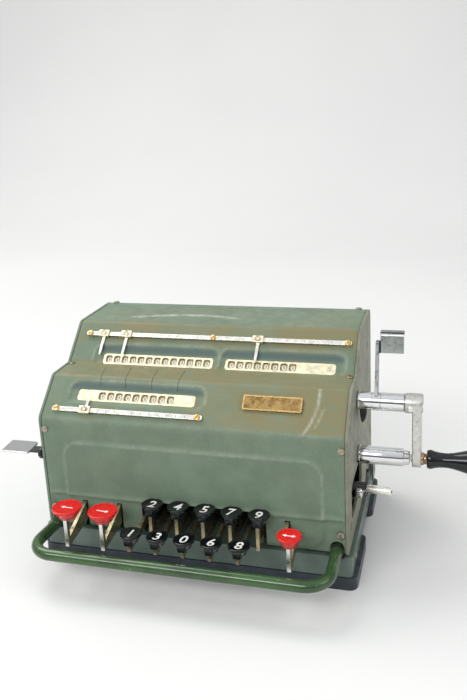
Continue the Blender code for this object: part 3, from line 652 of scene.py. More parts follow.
def wear_at(x, y, z):
    """How yellowed the paint is at a point, from 0 to 1."""
    cloud = 0.5 + 0.9 * noise.noise(Vector((x, y, z)) * 0.035)
    if y < 1.5:
        return 0.18 * smoothstep(70.0, 112.0, z) * cloud
    upper = on_face(UPPER_FACE, x, y, z)
    if abs(upper[1]) < 2.0 and upper[0] > 2.0:
        return 0.45 * cloud + smoothstep(15.0, 24.0, upper[0]) * (0.55 + 0.45 * cloud) * 0.9
    if z > 160.0:
        return 0.30 * cloud
    if y > 26.0:
        return 0.8 + 0.4 * cloud
    return 0.45 * cloud + 0.75 * smoothstep(-20.0, 60.0, x)


def hollow_at(x, y, z):
    """How far a point lies in the painted shade under a pressed recess's upper edge, from 0 to 1.
    """
    shade = 0.0
    for face, low, high, _, fade in RECESSES:
        v, w = on_face(face, x, y, z)
        if abs(w) < 2.5 and v > fade[0]:
            edge = rectangle_distance(x, v, low, high, RECESS_CORNER)
            inside = 1 - smoothstep(-2.2, 0.2, edge)
            shade = max(shade, inside * smoothstep(high[1] - 9.0, high[1] - 5.0, v))
    return 0.9 * shade


def scuff_at(x, y, z):
    """Pale marks: rubbed ones, a smear on the top and scratches by the name plate, and painted
    highlights along the front bend, the front panel's outline, the bead and the window recesses'
    edges.
    """
    mark = 0.0
    if z > 161.0:
        arc_y = 97.0 + 7.0 * math.sin((x + 62.0) / 26.0)
        mark = band(-66.0, 8.0, 12.0, x) * ridge(y - arc_y, 2.4)
    v, w = on_face(LOWER_FACE, x, y, z)
    if abs(w) < 1.0 and 0 < v < 36:
        arc_x = 91.0 - 0.010 * (v - 30.0) ** 2
        mark = max(mark, 0.8 * ridge(x - arc_x, 0.9))
        mark = max(mark, 0.5 * ridge(x - arc_x - 4.5, 0.7) * band(8, 20, 3, v))
    # Painted highlight along the front bend.
    bend = math.hypot(y - BEND * 0.5, z - FRONT_BEND[1] + BEND * 0.3)
    mark = max(mark, 0.34 * ridge(bend, 2.4))
    # Painted highlights along the front panel's outline and the bead.
    if y < 1.5:
        panel = rectangle_distance(x, z, *PANEL)
        mark = max(mark, 0.42 * ridge(panel + 0.6, 0.8) if z > BEAD_Z else 0.0)
        mark = max(mark, 0.42 * ridge(z - BEAD_Z, 0.8))
    # Painted highlights along the window recesses' edges.
    for face, low, high, _, fade in RECESSES:
        v, w = on_face(face, x, y, z)
        if abs(w) < 1.5 and v > fade[1] + 2.0:
            edge = rectangle_distance(x, v, low, high, RECESS_CORNER)
            mark = max(mark, 0.40 * ridge(edge - 0.9, 0.8))
    return mark * (0.7 + 0.6 * noise.noise(Vector((x, y, z)) * 0.11))


def walked(line, spacing):
    """Points along a polyline no further apart than spacing, each with its normal."""
    points = [line[0]]
    for start, end in zip(line, line[1:]):
        pieces = max(1, math.ceil((end - start).length / spacing))
        points += [start.lerp(end, (i + 1) / pieces) for i in range(pieces)]
    return [(point, Vector((-run.y, run.x))) for point, run in runs(points)]


def front_cover():
    spacing = 1.5
    line = filleted([(0.0, COVER_FOOT), FRONT_BEND, STEP_FRONT, STEP_CREASE, TOP_FRONT,
                     (COVER_SPLIT, TOP_FRONT[1])], [BEND, BEND, CREASE, BEND])
    stations = walked(line, spacing)
    columns = math.ceil(2 * COVER_HALF / spacing)
    shape = bmesh.new()
    wear = shape.verts.layers.float.new("wear")
    scuff_and_highlight = shape.verts.layers.float.new("scuff_and_highlight")
    painted_shade = shape.verts.layers.float.new("painted_shade")
    outer, inner = [], []
    for point, normal in stations:
        outer_row, inner_row = [], []
        for column in range(columns + 1):
            x = COVER_HALF * (2.0 * column / columns - 1.0)
            edge = COVER_HALF - abs(x)
            height = pressing(x, point.x, point.y) * smoothstep(0.0, 3.0, edge)
            height -= 0.45 * (1 - smoothstep(0.0, 1.4, edge)) ** 2
            place = point + normal * height
            vert = shape.verts.new((x, place.x, place.y))
            vert[wear] = wear_at(x, point.x, point.y)
            # rubbed marks with painted highlights
            vert[scuff_and_highlight] = scuff_at(x, point.x, point.y)
            # painted shade inside the window recesses
            vert[painted_shade] = hollow_at(x, point.x, point.y)
            outer_row.append(vert)
            back = point - normal * SHEET
            inner_row.append(shape.verts.new((x, back.x, back.y)))
        outer.append(outer_row)
        inner.append(inner_row)
    rows = len(stations)
    for row in range(rows - 1):
        for c in range(columns):
            shape.faces.new((outer[row][c], outer[row][c + 1],
                             outer[row + 1][c + 1], outer[row + 1][c]))
            shape.faces.new((inner[row][c], inner[row + 1][c],
                             inner[row + 1][c + 1], inner[row][c + 1]))
        for c in (0, columns):
            shape.faces.new((outer[row][c], outer[row + 1][c],
                             inner[row + 1][c], inner[row][c]))
    for row in (0, rows - 1):
        for c in range(columns):
            shape.faces.new((outer[row][c], inner[row][c],
                             inner[row][c + 1], outer[row][c + 1]))
    bmesh.ops.recalc_face_normals(shape, faces=shape.faces)
    cover = put("front_cover_pressing", shape, "case_worn_and_painted_light", stands_for=("front_cover",), angle=50)

    cutters = []
    for face, left, right, low, high in WINDOWS.values():
        cutters.append(prism(rounded((left, low), (right, high), 2.4), "z", -4.0, 3.0, face))
    left, right, top = MOUTH
    through = (-4.0, 5.0)
    cutters.append(prism(rounded((left, COVER_FOOT - 9), (right, top), 4.0), "y", *through))
    for x in RED_SLOTS:
        cutters.append(box((x - RED_SLOT_HALF, through[0], COVER_FOOT - 3),
                           (x + RED_SLOT_HALF, through[1], RED_SLOT_TOP)))
    reach, rise = BAR_RADIUS + 0.9, 1.2
    for side in (-1, 1):
        outline = arc((side * BAR_X, BAR_Z + rise), reach, 0, 180, 24)
        outline += [(side * BAR_X - reach, COVER_FOOT - 3), (side * BAR_X + reach, COVER_FOOT - 3)]
        cutters.append(prism(outline, "y", *through))
    subtract(cover, gathered(*cutters))
    smooth(cover, 50)


BAR_LOW, BAR_HIGH = machine_box("guard_bar")
BAR_RADIUS = (BAR_HIGH.z - BAR_LOW.z) / 2
BAR_X, BAR_Z = BAR_HIGH.x - BAR_RADIUS, (BAR_LOW.z + BAR_HIGH.z) / 2
WINDOWS = {                     # face, then the opening's left, right, low and high edge
    "product": (UPPER_FACE, -84.0, 5.0, 0.4, 9.8),
    "counter": (UPPER_FACE, 14.2, 97.0, 0.4, 9.8),
    "setting": (LOWER_FACE, -87.0, 3.7, 16.3, 25.5),
}
MOUTH = (-36.8, 55.4, 54.6)
RED_SLOTS, RED_SLOT_HALF, RED_SLOT_TOP = (-81.5, -54.2, 70.6), 2.0, 49.5


PLATE_SLOTS = ((12.0, 114.0), (128.0, 64.0), (12.6, 43.0))     # (y, z) in the right plate


def side_plates():
    outline = [tuple(p) for p in filleted(
        [(0.0, COVER_FOOT), FRONT_BEND, STEP_FRONT, STEP_CREASE, TOP_FRONT, TOP_BACK,
         (TOP_BACK[0], COVER_FOOT)], [BEND, BEND, CREASE, BEND, BEND + 1.0], 12)]
    inner = CASE_HALF - PLATE
    for side, node in ((-1, "side_plate_left"), (1, "side_plate_right")):
        low, high = sorted((side * inner, side * CASE_HALF))
        # The right plate takes the brighter copy of the paint: painted light on that side.
        plate = put(f"{node}_sheet", prism(outline, "x", low, high),
                    "case" if side < 0 else "case_lit_side",
                    stands_for=(node,), bevel=0.7, steps=3)
        reach = (low - 2, high + 2)
        if side < 0:
            y, z = hinge_centre("counter_clear_press")
            cutter = turned(rod(*reach, 5.6), "x", (y, z))
        else:
            cutter = gathered(
                turned(rod(*reach, 4.6), "x", CRANK),
                prism(rounded((16.0, 44.0), (74.0, 70.0), 6.0), "x", *reach),
                prism(rounded((112.0, 136.3), (118.0, 142.9), 2.9), "x", *reach),
                *[prism(pill(y, z, 1.5, 3.5, 1.4), "x", *reach)
                  for y, z in PLATE_SLOTS])
        subtract(plate, cutter)
        smooth(plate, 35)
    # Dark fillings in the right plate's slots and rounded opening: painted shade inside them.
    fillings = [prism(pill(y, z, 1.48, 3.48, 1.4), "x", inner, CASE_HALF - 0.2)
                for y, z in PLATE_SLOTS]
    fillings.append(prism(rounded((112.02, 136.32), (117.98, 142.88), 2.9), "x",
                          inner, CASE_HALF - 0.2))
    put("slot_shade_fillings", gathered(*fillings), "dark")


def ribbon(stations, width, above, below):
    """Thin closed strip along (point, x, normal) stations on the cover."""
    corners = ((-width / 2, above), (width / 2, above), (width / 2, -below), (-width / 2, -below))
    return skinned([[(x + across, *(point + normal * rise)) for across, rise in corners]
                    for point, x, normal in stations])


def case_fittings():
    """Slotted screws and the scribed lines on the step."""
    screws = [(-108.0, 0.0, 104.5, (0, -1, 0), 35), (108.0, 0.0, 104.5, (0, -1, 0), 20),
              (107.0, 0.0, 42.3, (0, -1, 0), 75), (-107.0, 0.0, 42.3, (0, -1, 0), 140)]
    for x in (-107.5, 107.5):
        screws.append((x, 50.0, 137.2, (0, 0, 1), 25 if x > 0 else 60))
    for x in (-104.0, 104.0):
        screws.append((x, 134.0, 162.5, (0, 0, 1), 10))
        for z in (48.0, 142.0):
            screws.append((x, 140.0, z, (0, 1, 0), 50))
    heads = [screw_head(x, y, z, 2.5, normal, turn) for x, y, z, normal, turn in screws]
    put("case_screws", gathered(*heads), "screw", bevel=0.12)
    side_screws = [screw_head(-CASE_HALF, y, z, 2.4, (-1, 0, 0), turn)
                   for y, z, turn in ((12.0, 90.0, 15), (128.0, 148.0, 70), (96.0, 40.0, 120))]
    put("side_screws", gathered(*side_screws), "screw", bevel=0.12)

    line = filleted([(0.0, COVER_FOOT), FRONT_BEND, STEP_FRONT, STEP_CREASE], [BEND, BEND])
    back_y, front_y = 47.0, 19.8
    stations = [(p, n) for p, n in walked(line, 1.5) if front_y <= p.x <= back_y]
    lines = []
    for back_x, front_x in ((-76.6, -70.5), (-56.4, -50.9), (-34.5, -30.8), (-13.1, -11.0)):
        path = []
        for point, normal in stations:
            x = front_x + (back_x - front_x) * (point.x - front_y) / (back_y - front_y)
            path.append((point + normal * pressing(x, point.x, point.y), x, normal))
        lines.append(ribbon(path, 0.42, 0.05, 0.3))
    put("scribed_lines", gathered(*lines), "scribe")


def wheel_row(name):
    """How many wheels a register has, and where the first one's pitch starts."""
    low, high = machine_box(f"{name}_wheels")
    digits = round((high.x - low.x) / PITCH)
    return digits, (low.x + high.x) / 2 - digits * PITCH / 2


def windows():
    """Plates behind the openings, each with a rounded hole over every wheel."""
    face_w, thick = -1.35, 0.55
    for name, (face, left, right, low, high) in WINDOWS.items():
        digits, first = wheel_row(name)
        seat_low = low if face is UPPER_FACE else low - 1.5
        shape = prism(rounded((left + 0.22, low + 0.22), (right - 0.22, high - 0.22), 2.2), "z",
                      face_w - thick - 0.4, face_w, face)
        plate = put(f"{name}_window_plate", shape, "window", stands_for=(f"{name}_window",),
                    bevel=0.15)
        middle = (low + high) / 2
        holes = [prism(pill(first + (i + 0.5) * PITCH, middle, 2.65, 3.0, 1.5), "z", -5.0, 1.0,
                       face) for i in range(digits)]
        subtract(plate, gathered(*holes))
        seat = prism(rounded((left - 1.4, seat_low), (right + 1.4, high + 1.5), 2.0), "z",
                     -2.5, -1.95, face)
        seat_holes = prism(rounded((first - 0.4, middle - 3.1),
                                   (first + digits * PITCH + 0.4, middle + 3.1), 1.0),
                           "z", -5.0, 1.0, face)
        put(f"{name}_window_seat", difference(seat, seat_holes), "window")
    ornament = gathered(
        turned([(face_w, 0.0), (face_w, 1.9), (face_w + 0.22, 1.7), (face_w + 0.22, 1.2),
                (face_w + 0.08, 1.0), (face_w + 0.08, 0.0)], "z", (91.5, 5.1), 32, UPPER_FACE),
        prism(rounded((91.0, 4.5), (92.0, 5.7), 0.4), "z", face_w, face_w + 0.25, UPPER_FACE))
    put("counter_ornament", ornament, "brass")


def wheels():
    """Numeral wheels with raised figures, noughts showing at rest."""
    radius = 9.75
    glyphs = {d: glyph(str(d), 4.3, 0.10, bold=0.006) for d in range(10)}
    for name, (face, *_) in WINDOWS.items():
        digits, first = wheel_row(name)
        y, z = hinge_centre(f"{name}_wheels_turn")
        out = face.to_3x3() @ Vector((0, 0, 1))
        up = face.to_3x3() @ Vector((0, 1, 0))
        rims, figures = [], []
        for index in range(digits):
            left = first + index * PITCH + 0.25
            right = left + PITCH - 0.5
            profile = [(left, 2.4), (left, radius - 0.5), (left + 0.3, radius - 0.1),
                       (left + 0.6, radius), (right - 0.6, radius), (right - 0.3, radius - 0.1),
                       (right, radius - 0.5), (right, 2.4)]
            rims.append(turned(profile, "x", (y, z), 40))
            centre = Vector(((left + right) / 2, y, z))
            for digit, drawn in glyphs.items():
                copy = drawn.copy()
                for vert in copy.verts:
                    turn = vert.co.y / radius - math.radians(36 * digit)
                    reach = radius + vert.co.z - 0.02
                    vert.co = (centre + Vector((vert.co.x, 0, 0))
                               + (out * math.cos(turn) + up * math.sin(turn)) * reach)
                figures.append(copy)
        body = f"{name}_register"
        put(f"{name}_wheel_bank", gathered(*rims), "wheel", body,
            stands_for=(f"{name}_wheels",))
        put(f"{name}_figures", gathered(*figures), "white", body)
    for drawn in glyphs.values():
        drawn.free()


UPPER_PLACE, LOWER_PLACE = (UPPER_FACE, 25.2), (LOWER_FACE, 7.6)     # the rails' centre lines
RAILS = {                       # face, place up the slope, left, right, screws
    "upper_rail": (*UPPER_PLACE, -102.0, 107.0, (-98.5, 2.7, 104.1)),
    "lower_rail": (*LOWER_PLACE, -102.5, 12.0, (-98.9, 8.4)),
}
RAIL_HALF, RAIL_LOW, RAIL_HIGH = 1.7, 1.0, 2.3


def rails():
    for name, (face, middle, left, right, screws) in RAILS.items():
        bar = prism(rounded((left, middle - RAIL_HALF), (right, middle + RAIL_HALF), 1.3), "z",
                    RAIL_LOW, RAIL_HIGH, face)
        put(f"{name}_bar", bar, "nickel", stands_for=(name,), bevel=0.2)
        ticks = []
        count = int((right - left) / PITCH) - 1
        for index in range(1, count + 1):
            x = left + 3.0 + index * PITCH
            if all(abs(x - s) > 3.4 for s in screws):
                ticks.append(box((x - 0.13, middle - 0.75, RAIL_HIGH - 0.1),
                                 (x + 0.13, middle + 0.55, RAIL_HIGH + 0.03), face))
        put(f"{name}_marks", gathered(*ticks), "scribe")
        fixings, posts = [], []
        for index, x in enumerate(screws):
            head = screw_head(0, 0, 0, 2.25, (0, 0, 1), 30 + 40 * index, 1.15, 0.55)
            head.transform(face @ Matrix.Translation((x, middle, RAIL_HIGH - 0.02)))
            fixings.append(head)
            posts.append(turned(rod(-0.3, RAIL_LOW, 1.7), "z", (x, middle), 24, face))
        put(f"{name}_screws", gathered(*fixings), "plate_rim", bevel=0.12)
        put(f"{name}_posts", gathered(*posts), "nickel")


MARKERS = {                     # face, rail, pointer length and direction
    **dict.fromkeys(("product_left", "product_right", "counter"), (*UPPER_PLACE, 16.4, -1)),
    "setting": (*LOWER_PLACE, 11.0, 1),
}


def markers():
    for name, (face, middle, length, towards) in MARKERS.items():
        node, body = f"slider_{name}", f"marker_{name}"
        low, high = machine_box(node)
        x, half = (low.x + high.x) / 2, (high.x - low.x) / 2
        lip, wall = RAIL_HALF + 0.3, 0.8
        top = RAIL_HIGH + 1.4
        outline = [(middle - lip - wall, RAIL_LOW - 0.5), (middle - lip, RAIL_LOW - 0.5),
                   (middle - lip, RAIL_HIGH + 0.3), (middle + lip, RAIL_HIGH + 0.3),
                   (middle + lip, RAIL_LOW - 0.5), (middle + lip + wall, RAIL_LOW - 0.5)]
        outline += arc((middle + lip + wall - 0.7, top - 0.7), 0.7, 0, 90, 4)
        outline += arc((middle - lip - wall + 0.7, top - 0.7), 0.7, 90, 180, 4)
        clip = prism(outline, "x", x - half, x + half, face)
        put(f"{node}_clip", clip, "brass", body, stands_for=(node,), bevel=0.18)
        button = turned([(top - 0.4, 0.0), (top - 0.4, 2.0), (top + 0.25, 2.0), (top + 0.45, 1.7),
                         (top + 0.45, 1.35), (top + 0.1, 1.1), (top + 0.05, 0.0)],
                        "z", (x, middle), 32, face)
        put(f"{node}_button", button, "brass", body)
        ring = turned([(top + 0.3, 1.5), (top + 0.3, 2.15), (top + 0.5, 2.15), (top + 0.5, 1.5)],
                      "z", (x, middle), 32, face)
        put(f"{node}_ring", ring, "screw", body)
        root, end = middle + towards * (lip + 0.1), middle + towards * (lip + length)
        tip = end - towards * 2.2
        pointer = prism([(x - 1.25, root), (x + 1.25, root), (x + 1.0, tip), (x + 0.25, end),
                         (x - 0.25, end), (x - 1.0, tip)], "z", RAIL_LOW - 0.35, RAIL_LOW + 0.45,
                        face)
        put(f"{node}_pointer", pointer, "nickel", body, bevel=0.15)


def name_plate():
    """Blank plate: a raised brass border round a darker sunk field."""
    plate = prism(rounded(NAME_LOW, NAME_HIGH, 1.2), "z", 0.0, 1.45, LOWER_FACE)
    low, high = [(a[0] + s, a[1] + s) for a, s in ((NAME_LOW, 1.15), (NAME_HIGH, -1.15))]
    sunk = prism(rounded(low, high, 0.7), "z", 1.05, 3.0, LOWER_FACE)
    put("name_plate_border", difference(plate, sunk), "plate_rim", stands_for=("name_plate",),
        bevel=0.15)
    field = prism(rounded(low, high, 0.7), "z", 0.9, 1.1, LOWER_FACE)
    put("name_plate_field", field, "plate_field")


# ---- bar, base and feet ---------------------------------------------------------------

def guard_bar():
    bend, splay = 17.0, 3.4
    front = BAR_LOW.y + BAR_RADIUS
    line = filleted([(-BAR_X, BAR_HIGH.y), (-BAR_X, -3.0), (-BAR_X - splay, front),
                     (BAR_X, front), (BAR_X, BAR_HIGH.y)], [bend, bend, bend], 16)
    points = [(p.x, p.y, BAR_Z) for p in line]
    put("guard_bar_rod", tube(points, BAR_RADIUS, 32), "bar", stands_for=("guard_bar",))
    profile = [(y, BAR_RADIUS + rise) for y, rise in ((-1.0, 0.05), (-1.0, 0.7), (0.6, 0.85),
                                                      (0.6, 0.05))]
    collars = [turned(profile, "y", (side * BAR_X, BAR_Z), 32) for side in (-1, 1)]
    put("bar_collars", gathered(*collars), "dark")


def base():
    dress("base_frame", "base", 0.8)
    dress("foot_front", "rubber", 0.9)
    dress("foot_rear", "rubber", 0.9)
    low, high = machine_box("base_frame")
    catch = prism(rounded((122.0, 19.0), (139.5, 34.5), 2.0), "x", high.x + 0.05, high.x + 0.8)
    put("rear_catch", catch, "catch", bevel=0.25)
    heads = [screw_head(high.x, y, 19.5, 2.0, (1, 0, 0), 40, 0.7) for y in (14.0, 74.0)]
    heads += [screw_head(low.x, y, 19.5, 2.0, (-1, 0, 0), 70, 0.7) for y in (14.0, 74.0, 130.0)]
    put("base_screws", gathered(*heads), "screw", bevel=0.1)


# ---- keys -----------------------------------------------------------------------------

def cap_surface(radius, reach):
    """Height of a cap's dished top below its highest point."""
    share = min(reach / (radius - 1.0), 1.0)
    return -0.85 + 0.70 * share ** 2


def key_cap(node, body, finish, figure, narrow, tongue_half=0.0):
    """Tapered cap with a dished top and an inlaid figure; narrow is a share of its radius."""
    low, high = machine_box(node)
    x, y, top = (low.x + high.x) / 2, high.y - (high.x - low.x) / 2, high.z
    radius, height = (high.x - low.x) / 2, high.z - low.z
    dish = [(top + cap_surface(radius, r), r) for r in
            [i * (radius - 1.0) / 6 for i in range(7)]]
    rim = [(top - 0.02, radius - 0.75), (top - 0.04, radius - 0.5), (top - 0.20, radius - 0.18),
           (top - 0.55, radius), (top - 1.25, radius), (top - 1.75, radius - 0.18)]
    foot = radius * narrow
    skirt = [(top - 2.3, radius - 0.75), (top - height + 0.3, foot),
             (top - height, foot - 0.4), (top - height, 0.0)]
    put(f"{node}_moulding", turned(dish + rim + skirt, "z", (x, y), 48), finish, body,
        stands_for=(node,))
    if tongue_half:
        front = y - radius
        outline = [(x - tongue_half, top - 1.5), (x - tongue_half * 0.82, top - height),
                   (x + tongue_half * 0.82, top - height), (x + tongue_half, top - 1.5)]
        put(f"{node}_tongue", prism(outline, "y", front + 0.1, front + 4.2), finish, body,
            bevel=0.35, steps=3)
    for vert in figure.verts:
        level = top + cap_surface(radius, math.hypot(vert.co.x, vert.co.y))
        vert.co = Vector((x + vert.co.x, y + vert.co.y, level - 0.06 + vert.co.z))
    put(f"{node}_figure", figure, "white", body, angle=30)


def arrow(length, heads):
    """Flat arrow along X, with a head at each end named in heads."""
    half, shaft, barb, reach = length / 2, 0.42, 1.55, 2.5
    right = [(half - reach, -shaft), (half - reach, -barb), (half, 0), (half - reach, barb),
             (half - reach, shaft)] if "right" in heads else [(half, -shaft), (half, shaft)]
    left = [(-half + reach, shaft), (-half + reach, barb), (-half, 0), (-half + reach, -barb),
            (-half + reach, -shaft)] if "left" in heads else [(-half, shaft), (-half, -shaft)]
    points = right + left
    return prism(points, "z", 0.0, 0.14)


def keys():
    for digit in range(10):
        figure = glyph(str(digit), 8.3, 0.16, shear=0.10, bold=0.012)
        key_cap(f"key_cap_{digit}", f"key_{digit}", "black", figure, 0.6, 3.1)
        dress(f"key_lever_{digit}", "lever", 0.3)
    for name, heads in (("left", ("left",)), ("right", ("right",)), ("sign", ("left", "right"))):
        figure = arrow(9.2, heads)
        figure.transform(Matrix.Rotation(math.radians(-3), 4, "Z"))
        key_cap(f"shift_cap_{name}", f"shift_key_{name}", "red", figure, 0.62)
        dress(f"shift_lever_{name}", "lever", 0.3)
        cap_low, cap_high = machine_box(f"shift_cap_{name}")
        blade_low, _ = machine_box(f"shift_lever_{name}")
        x, half = (cap_low.x + cap_high.x) / 2, 1.35
        strip_front = box((x - half, blade_low.y - 0.15, blade_low.z + 0.1),
                          (x + half, blade_low.y + 0.9, cap_high.z - 3.8))
        put(f"shift_stem_{name}", strip_front, "stem", f"shift_key_{name}", bevel=0.2)


# ---- crank side -------------------------------------------------------------------------

BARREL, FLANGE, SLEEVE_BORE = 6.5, 6.75, 4.3     # radii
NECK = (123.0, 129.0)           # where the clearing lever's ring turns in the barrel


def barrel_root(start, bore):
    """Flared root that the crank's sleeve and the stop post share."""
    return [(start, bore), (start, BARREL), (start + 0.3, FLANGE), (start + 1.2, FLANGE),
            (start + 1.5, BARREL)]


def crank():
    sleeve_low, sleeve_high = machine_box("crank_sleeve")
    start, end = sleeve_low.x, sleeve_high.x
    profile = barrel_root(start, SLEEVE_BORE)
    profile += [(NECK[0] - 0.3, BARREL), (NECK[0], BARREL - 0.3), (NECK[0], 5.2), (NECK[1], 5.2),
                (NECK[1], BARREL - 0.3), (NECK[1] + 0.3, BARREL), (end - 0.5, BARREL),
                (end, BARREL - 0.5), (end, SLEEVE_BORE)]
    put("crank_barrel", turned(profile, "x", CRANK, 64), "chrome", stands_for=("crank_sleeve",))
    tail = [(114.2, 114.0), (119.6, 114.0), (119.0, 109.0), (118.2, 105.6), (116.4, 102.8),
            (115.2, 104.4), (114.6, 108.0)]
    put("barrel_tail", prism(tail, "y", 50.0, 56.0), "dark", bevel=0.9, steps=3)

    hub_end = 157.8
    hub = [(end + 0.3, 0.0), (end + 0.3, 6.8), (end + 0.6, 7.1), (hub_end - 1.0, 7.1),
           (hub_end - 0.5, 6.9), (hub_end, 6.2), (hub_end, 4.6), (hub_end - 0.5, 4.3),
           (hub_end - 0.5, 0.0)]
    put("crank_hub", turned(hub, "x", CRANK, 64), "pitted", "crank", stands_for=("crank_arm",))
    screw = screw_head(0, 0, 0, 2.3, (0, 0, 1), 25, 1.1, 0.6)
    screw.transform(Matrix.Translation((149.6, CRANK[0], CRANK[1]))
                    @ Matrix.Rotation(math.radians(104), 4, "X") @ Matrix.Translation((0, 0, 6.9)))
    put("hub_screw", screw, "nickel", "crank", bevel=0.12)
    outline = arc(CRANK, 6.9, 10, 170, 16) + arc(HANDLE, 6.3, 180, 360, 20)
    put("crank_web", prism(outline, "x", 150.8, 157.0), "pitted", "crank", bevel=0.7, steps=3)
    grip_low, grip_high = machine_box("handle_grip")
    pin = [(156.0, 0.0), (156.0, 4.3), (157.4, 4.6), (158.6, 4.3), (159.2, 3.7), (160.0, 3.9),
           (grip_low.x - 0.3, 3.7), (grip_low.x - 0.3, 0.0)]
    put("pin_collar", turned(pin, "x", HANDLE, 40), "copper", "crank")
    rivet = turned([(149.7, 0.0), (149.7, 2.2), (150.1, 2.9), (150.9, 3.2), (150.9, 0.0)], "x",
                   HANDLE, 32)
    put("pin_rivet", rivet, "pitted", "crank")

    length = grip_high.x - grip_low.x
    shape = [(0.00, 5.4), (0.004, 6.1), (0.015, 6.5), (0.035, 6.8), (0.055, 6.7), (0.07, 6.3),
             (0.09, 5.9), (0.14, 5.35), (0.19, 5.15), (0.24, 5.2), (0.30, 5.75), (0.37, 6.75),
             (0.45, 8.1), (0.53, 9.25), (0.61, 10.05), (0.69, 10.45), (0.76, 10.4), (0.83, 9.85),
             (0.89, 8.8), (0.935, 7.3), (0.965, 5.7), (0.985, 4.0), (0.996, 2.0), (1.0, 0.0)]
    grip = [(grip_low.x, 0.0)] + [(grip_low.x + s * length, r) for s, r in shape]
    put("crank_handle", turned(grip, "x", HANDLE, 64), "black", "handle",
        stands_for=("handle_grip",))


def stop_post():
    low, high = machine_box("stop_post")
    tip = ((4.9, BARREL), (4.4, 6.3), (4.1, 5.5), (3.6, 5.3), (0.9, 5.0), (0.3, 4.6), (0.0, 3.8),
           (0.0, 0.0))
    profile = barrel_root(low.x, 0.0) + [(high.x - back, radius) for back, radius in tip]
    put("post_barrel", turned(profile, "x", HANDLE, 64), "chrome", stands_for=("stop_post",))


def levers():
    y, z = CRANK
    body = "product_clear"
    first, last = NECK[0] + GAP, NECK[1] - GAP
    ring = [(first, 5.5), (first, 6.35), (first + 0.15, BARREL), (last - 0.15, BARREL),
            (last, 6.35), (last, 5.5)]
    put("clear_ring", turned(ring, "x", CRANK, 48), "chrome", body,
        stands_for=("product_clear_lever",))
    arm = [(y - 4.4, z + 5.6), (y + 4.4, z + 5.6), (y + 7.6, z + 24.0), (y + 11.0, z + 40.4)]
    arm += [(y + 6.2, z + 42.2), (y + 4.0, z + 34.0), (y - 0.6, z + 16.0)]
    put("clear_arm", prism(arm, "x", 124.8, 127.2), "thumb", body, bevel=0.35)
    root = z + 33.8
    sheet = filleted([(y + 7.0, root), (y + 8.6, root + 12.9), (y + 13.4, root + 13.7)], [1.6], 6)
    put("clear_thumb", prism(strip(sheet, 1.3), "x", 128.0, 144.2), "thumb", body, bevel=0.3)
    lip = [(y + 8.4, root + 13.0), (y + 13.6, root + 13.8), (y + 13.6, root + 14.5),
           (y + 8.2, root + 14.4)]
    put("thumb_lip", prism(lip, "x", 127.9, 144.3), "dark", body, bevel=0.15)
    web = prism([(y + 5.6, root), (y + 8.0, root), (y + 9.0, root + 8.5), (y + 6.6, root + 8.5)],
                "x", 125.0, 128.6)
    put("clear_root", web, "dark", body, bevel=0.3)

    body = "setting_clear"
    arm = [(40.0, 64.0), (34.0, 61.0), (36.0, 55.0)]
    arm += arc(hinge_centre("setting_clear_press"), 4.5, -120, 120, 12)
    put("setting_arm", prism(arm, "x", 102.6, 105.0), "steel", body,
        stands_for=("setting_clear_lever",), bevel=0.25)
    stub = [(103.5, 0), (103.5, 3.2), (119.6, 3.2), (120.5, 2.6), (120.5, 0)]
    put("setting_stub", turned(stub, "x", (38.5, 59.5), 32), "dark", body)
    link = [(35.8, 53.5), (38.4, 51.9), (41.2, 52.6), (50.6, 64.6), (50.4, 67.0), (48.8, 68.2),
            (45.8, 67.6)]
    put("setting_link", prism(link, "x", 118.8, 121.0), "dark", body, bevel=0.5, steps=3)
    knob = [(112.7, 0), (112.7, 3.6), (113.2, 4.2), (116.4, 4.2), (117.2, 3.5), (117.2, 0)]
    put("setting_knob", turned(knob, "x", (37.0, 55.8), 40), "chrome", body)
    place = (Matrix.Translation((115.1, 39.5, 57.9)) @ Matrix.Rotation(math.radians(-13), 4, "Z")
             @ Matrix.Rotation(math.radians(-4), 4, "Y"))
    bar = [(0.0, 0.0), (0.0, 2.6), (0.5, 3.0), (22.6, 3.0), (23.3, 2.7), (23.5, 2.1), (23.5, 1.4),
           (21.6, 1.3), (21.6, 0.0)]
    put("setting_bar", turned(bar, "x", (0, 0), 40, place), "nickel", body)
    # Dark plug in the bar's end bore: painted shade inside the hole.
    hole = turned(rod(21.65, 23.0, 1.25), "x", (0, 0), 24, place)
    put("setting_bar_hole_shade", hole, "dark", body)

    body = "counter_clear"
    y, z = hinge_centre("counter_clear_press")
    inner = CASE_HALF - PLATE
    hub = [(-118.4, 0), (-118.4, 4.4), (-117.9, 5.0), (-inner + 4.0, 5.0), (-inner + 4.0, 0)]
    put("counter_hub", turned(hub, "x", (y, z), 40), "steel", body,
        stands_for=("counter_clear_lever",))
    arm = arc((y, z), 6.9, -70, 70, 12) + [(10.0, 86.4), (4.0, 85.0), (2.6, 81.0), (5.0, 77.5)]
    put("counter_arm", prism(arm, "x", -118.2, -115.4), "dark", body, bevel=0.4)
    tilt = (Matrix.Translation((0, 0, 83.4)) @ Matrix.Rotation(math.radians(2.7), 4, "X")
            @ Matrix.Translation((0, 0, -83.4)))
    blade = prism(rounded((-147.0, 0.0), (-124.6, 17.0), 2.2), "z", 82.7, 84.2)
    blade.transform(tilt)
    put("counter_thumb", blade, "chrome", body, bevel=0.35, steps=3)
    neck = prism(rounded((-125.4, 3.0), (-115.6, 11.0), 1.0), "z", 82.6, 84.0)
    neck.transform(tilt)
    put("counter_neck", neck, "dark", body, bevel=0.3)


def strip(line, thickness):
    """Outline of a bent strip: a line and its copy offset to the left."""
    offset = [point + Vector((-run.y, run.x)) * thickness for point, run in runs(line)]
    return [tuple(p) for p in line + offset[::-1]]


def hidden_parts():
    dress("rear_cover", "case", 0.4)
    for node in ("register_shaft", "setting_shaft", "key_shaft", "crank_shaft", "rotor_shaft"):
        dress(node, "screw", 0.2)
    dress("rotor_drum", "copper", 0.3)


# ---- stage, light and camera ------------------------------------------------------------

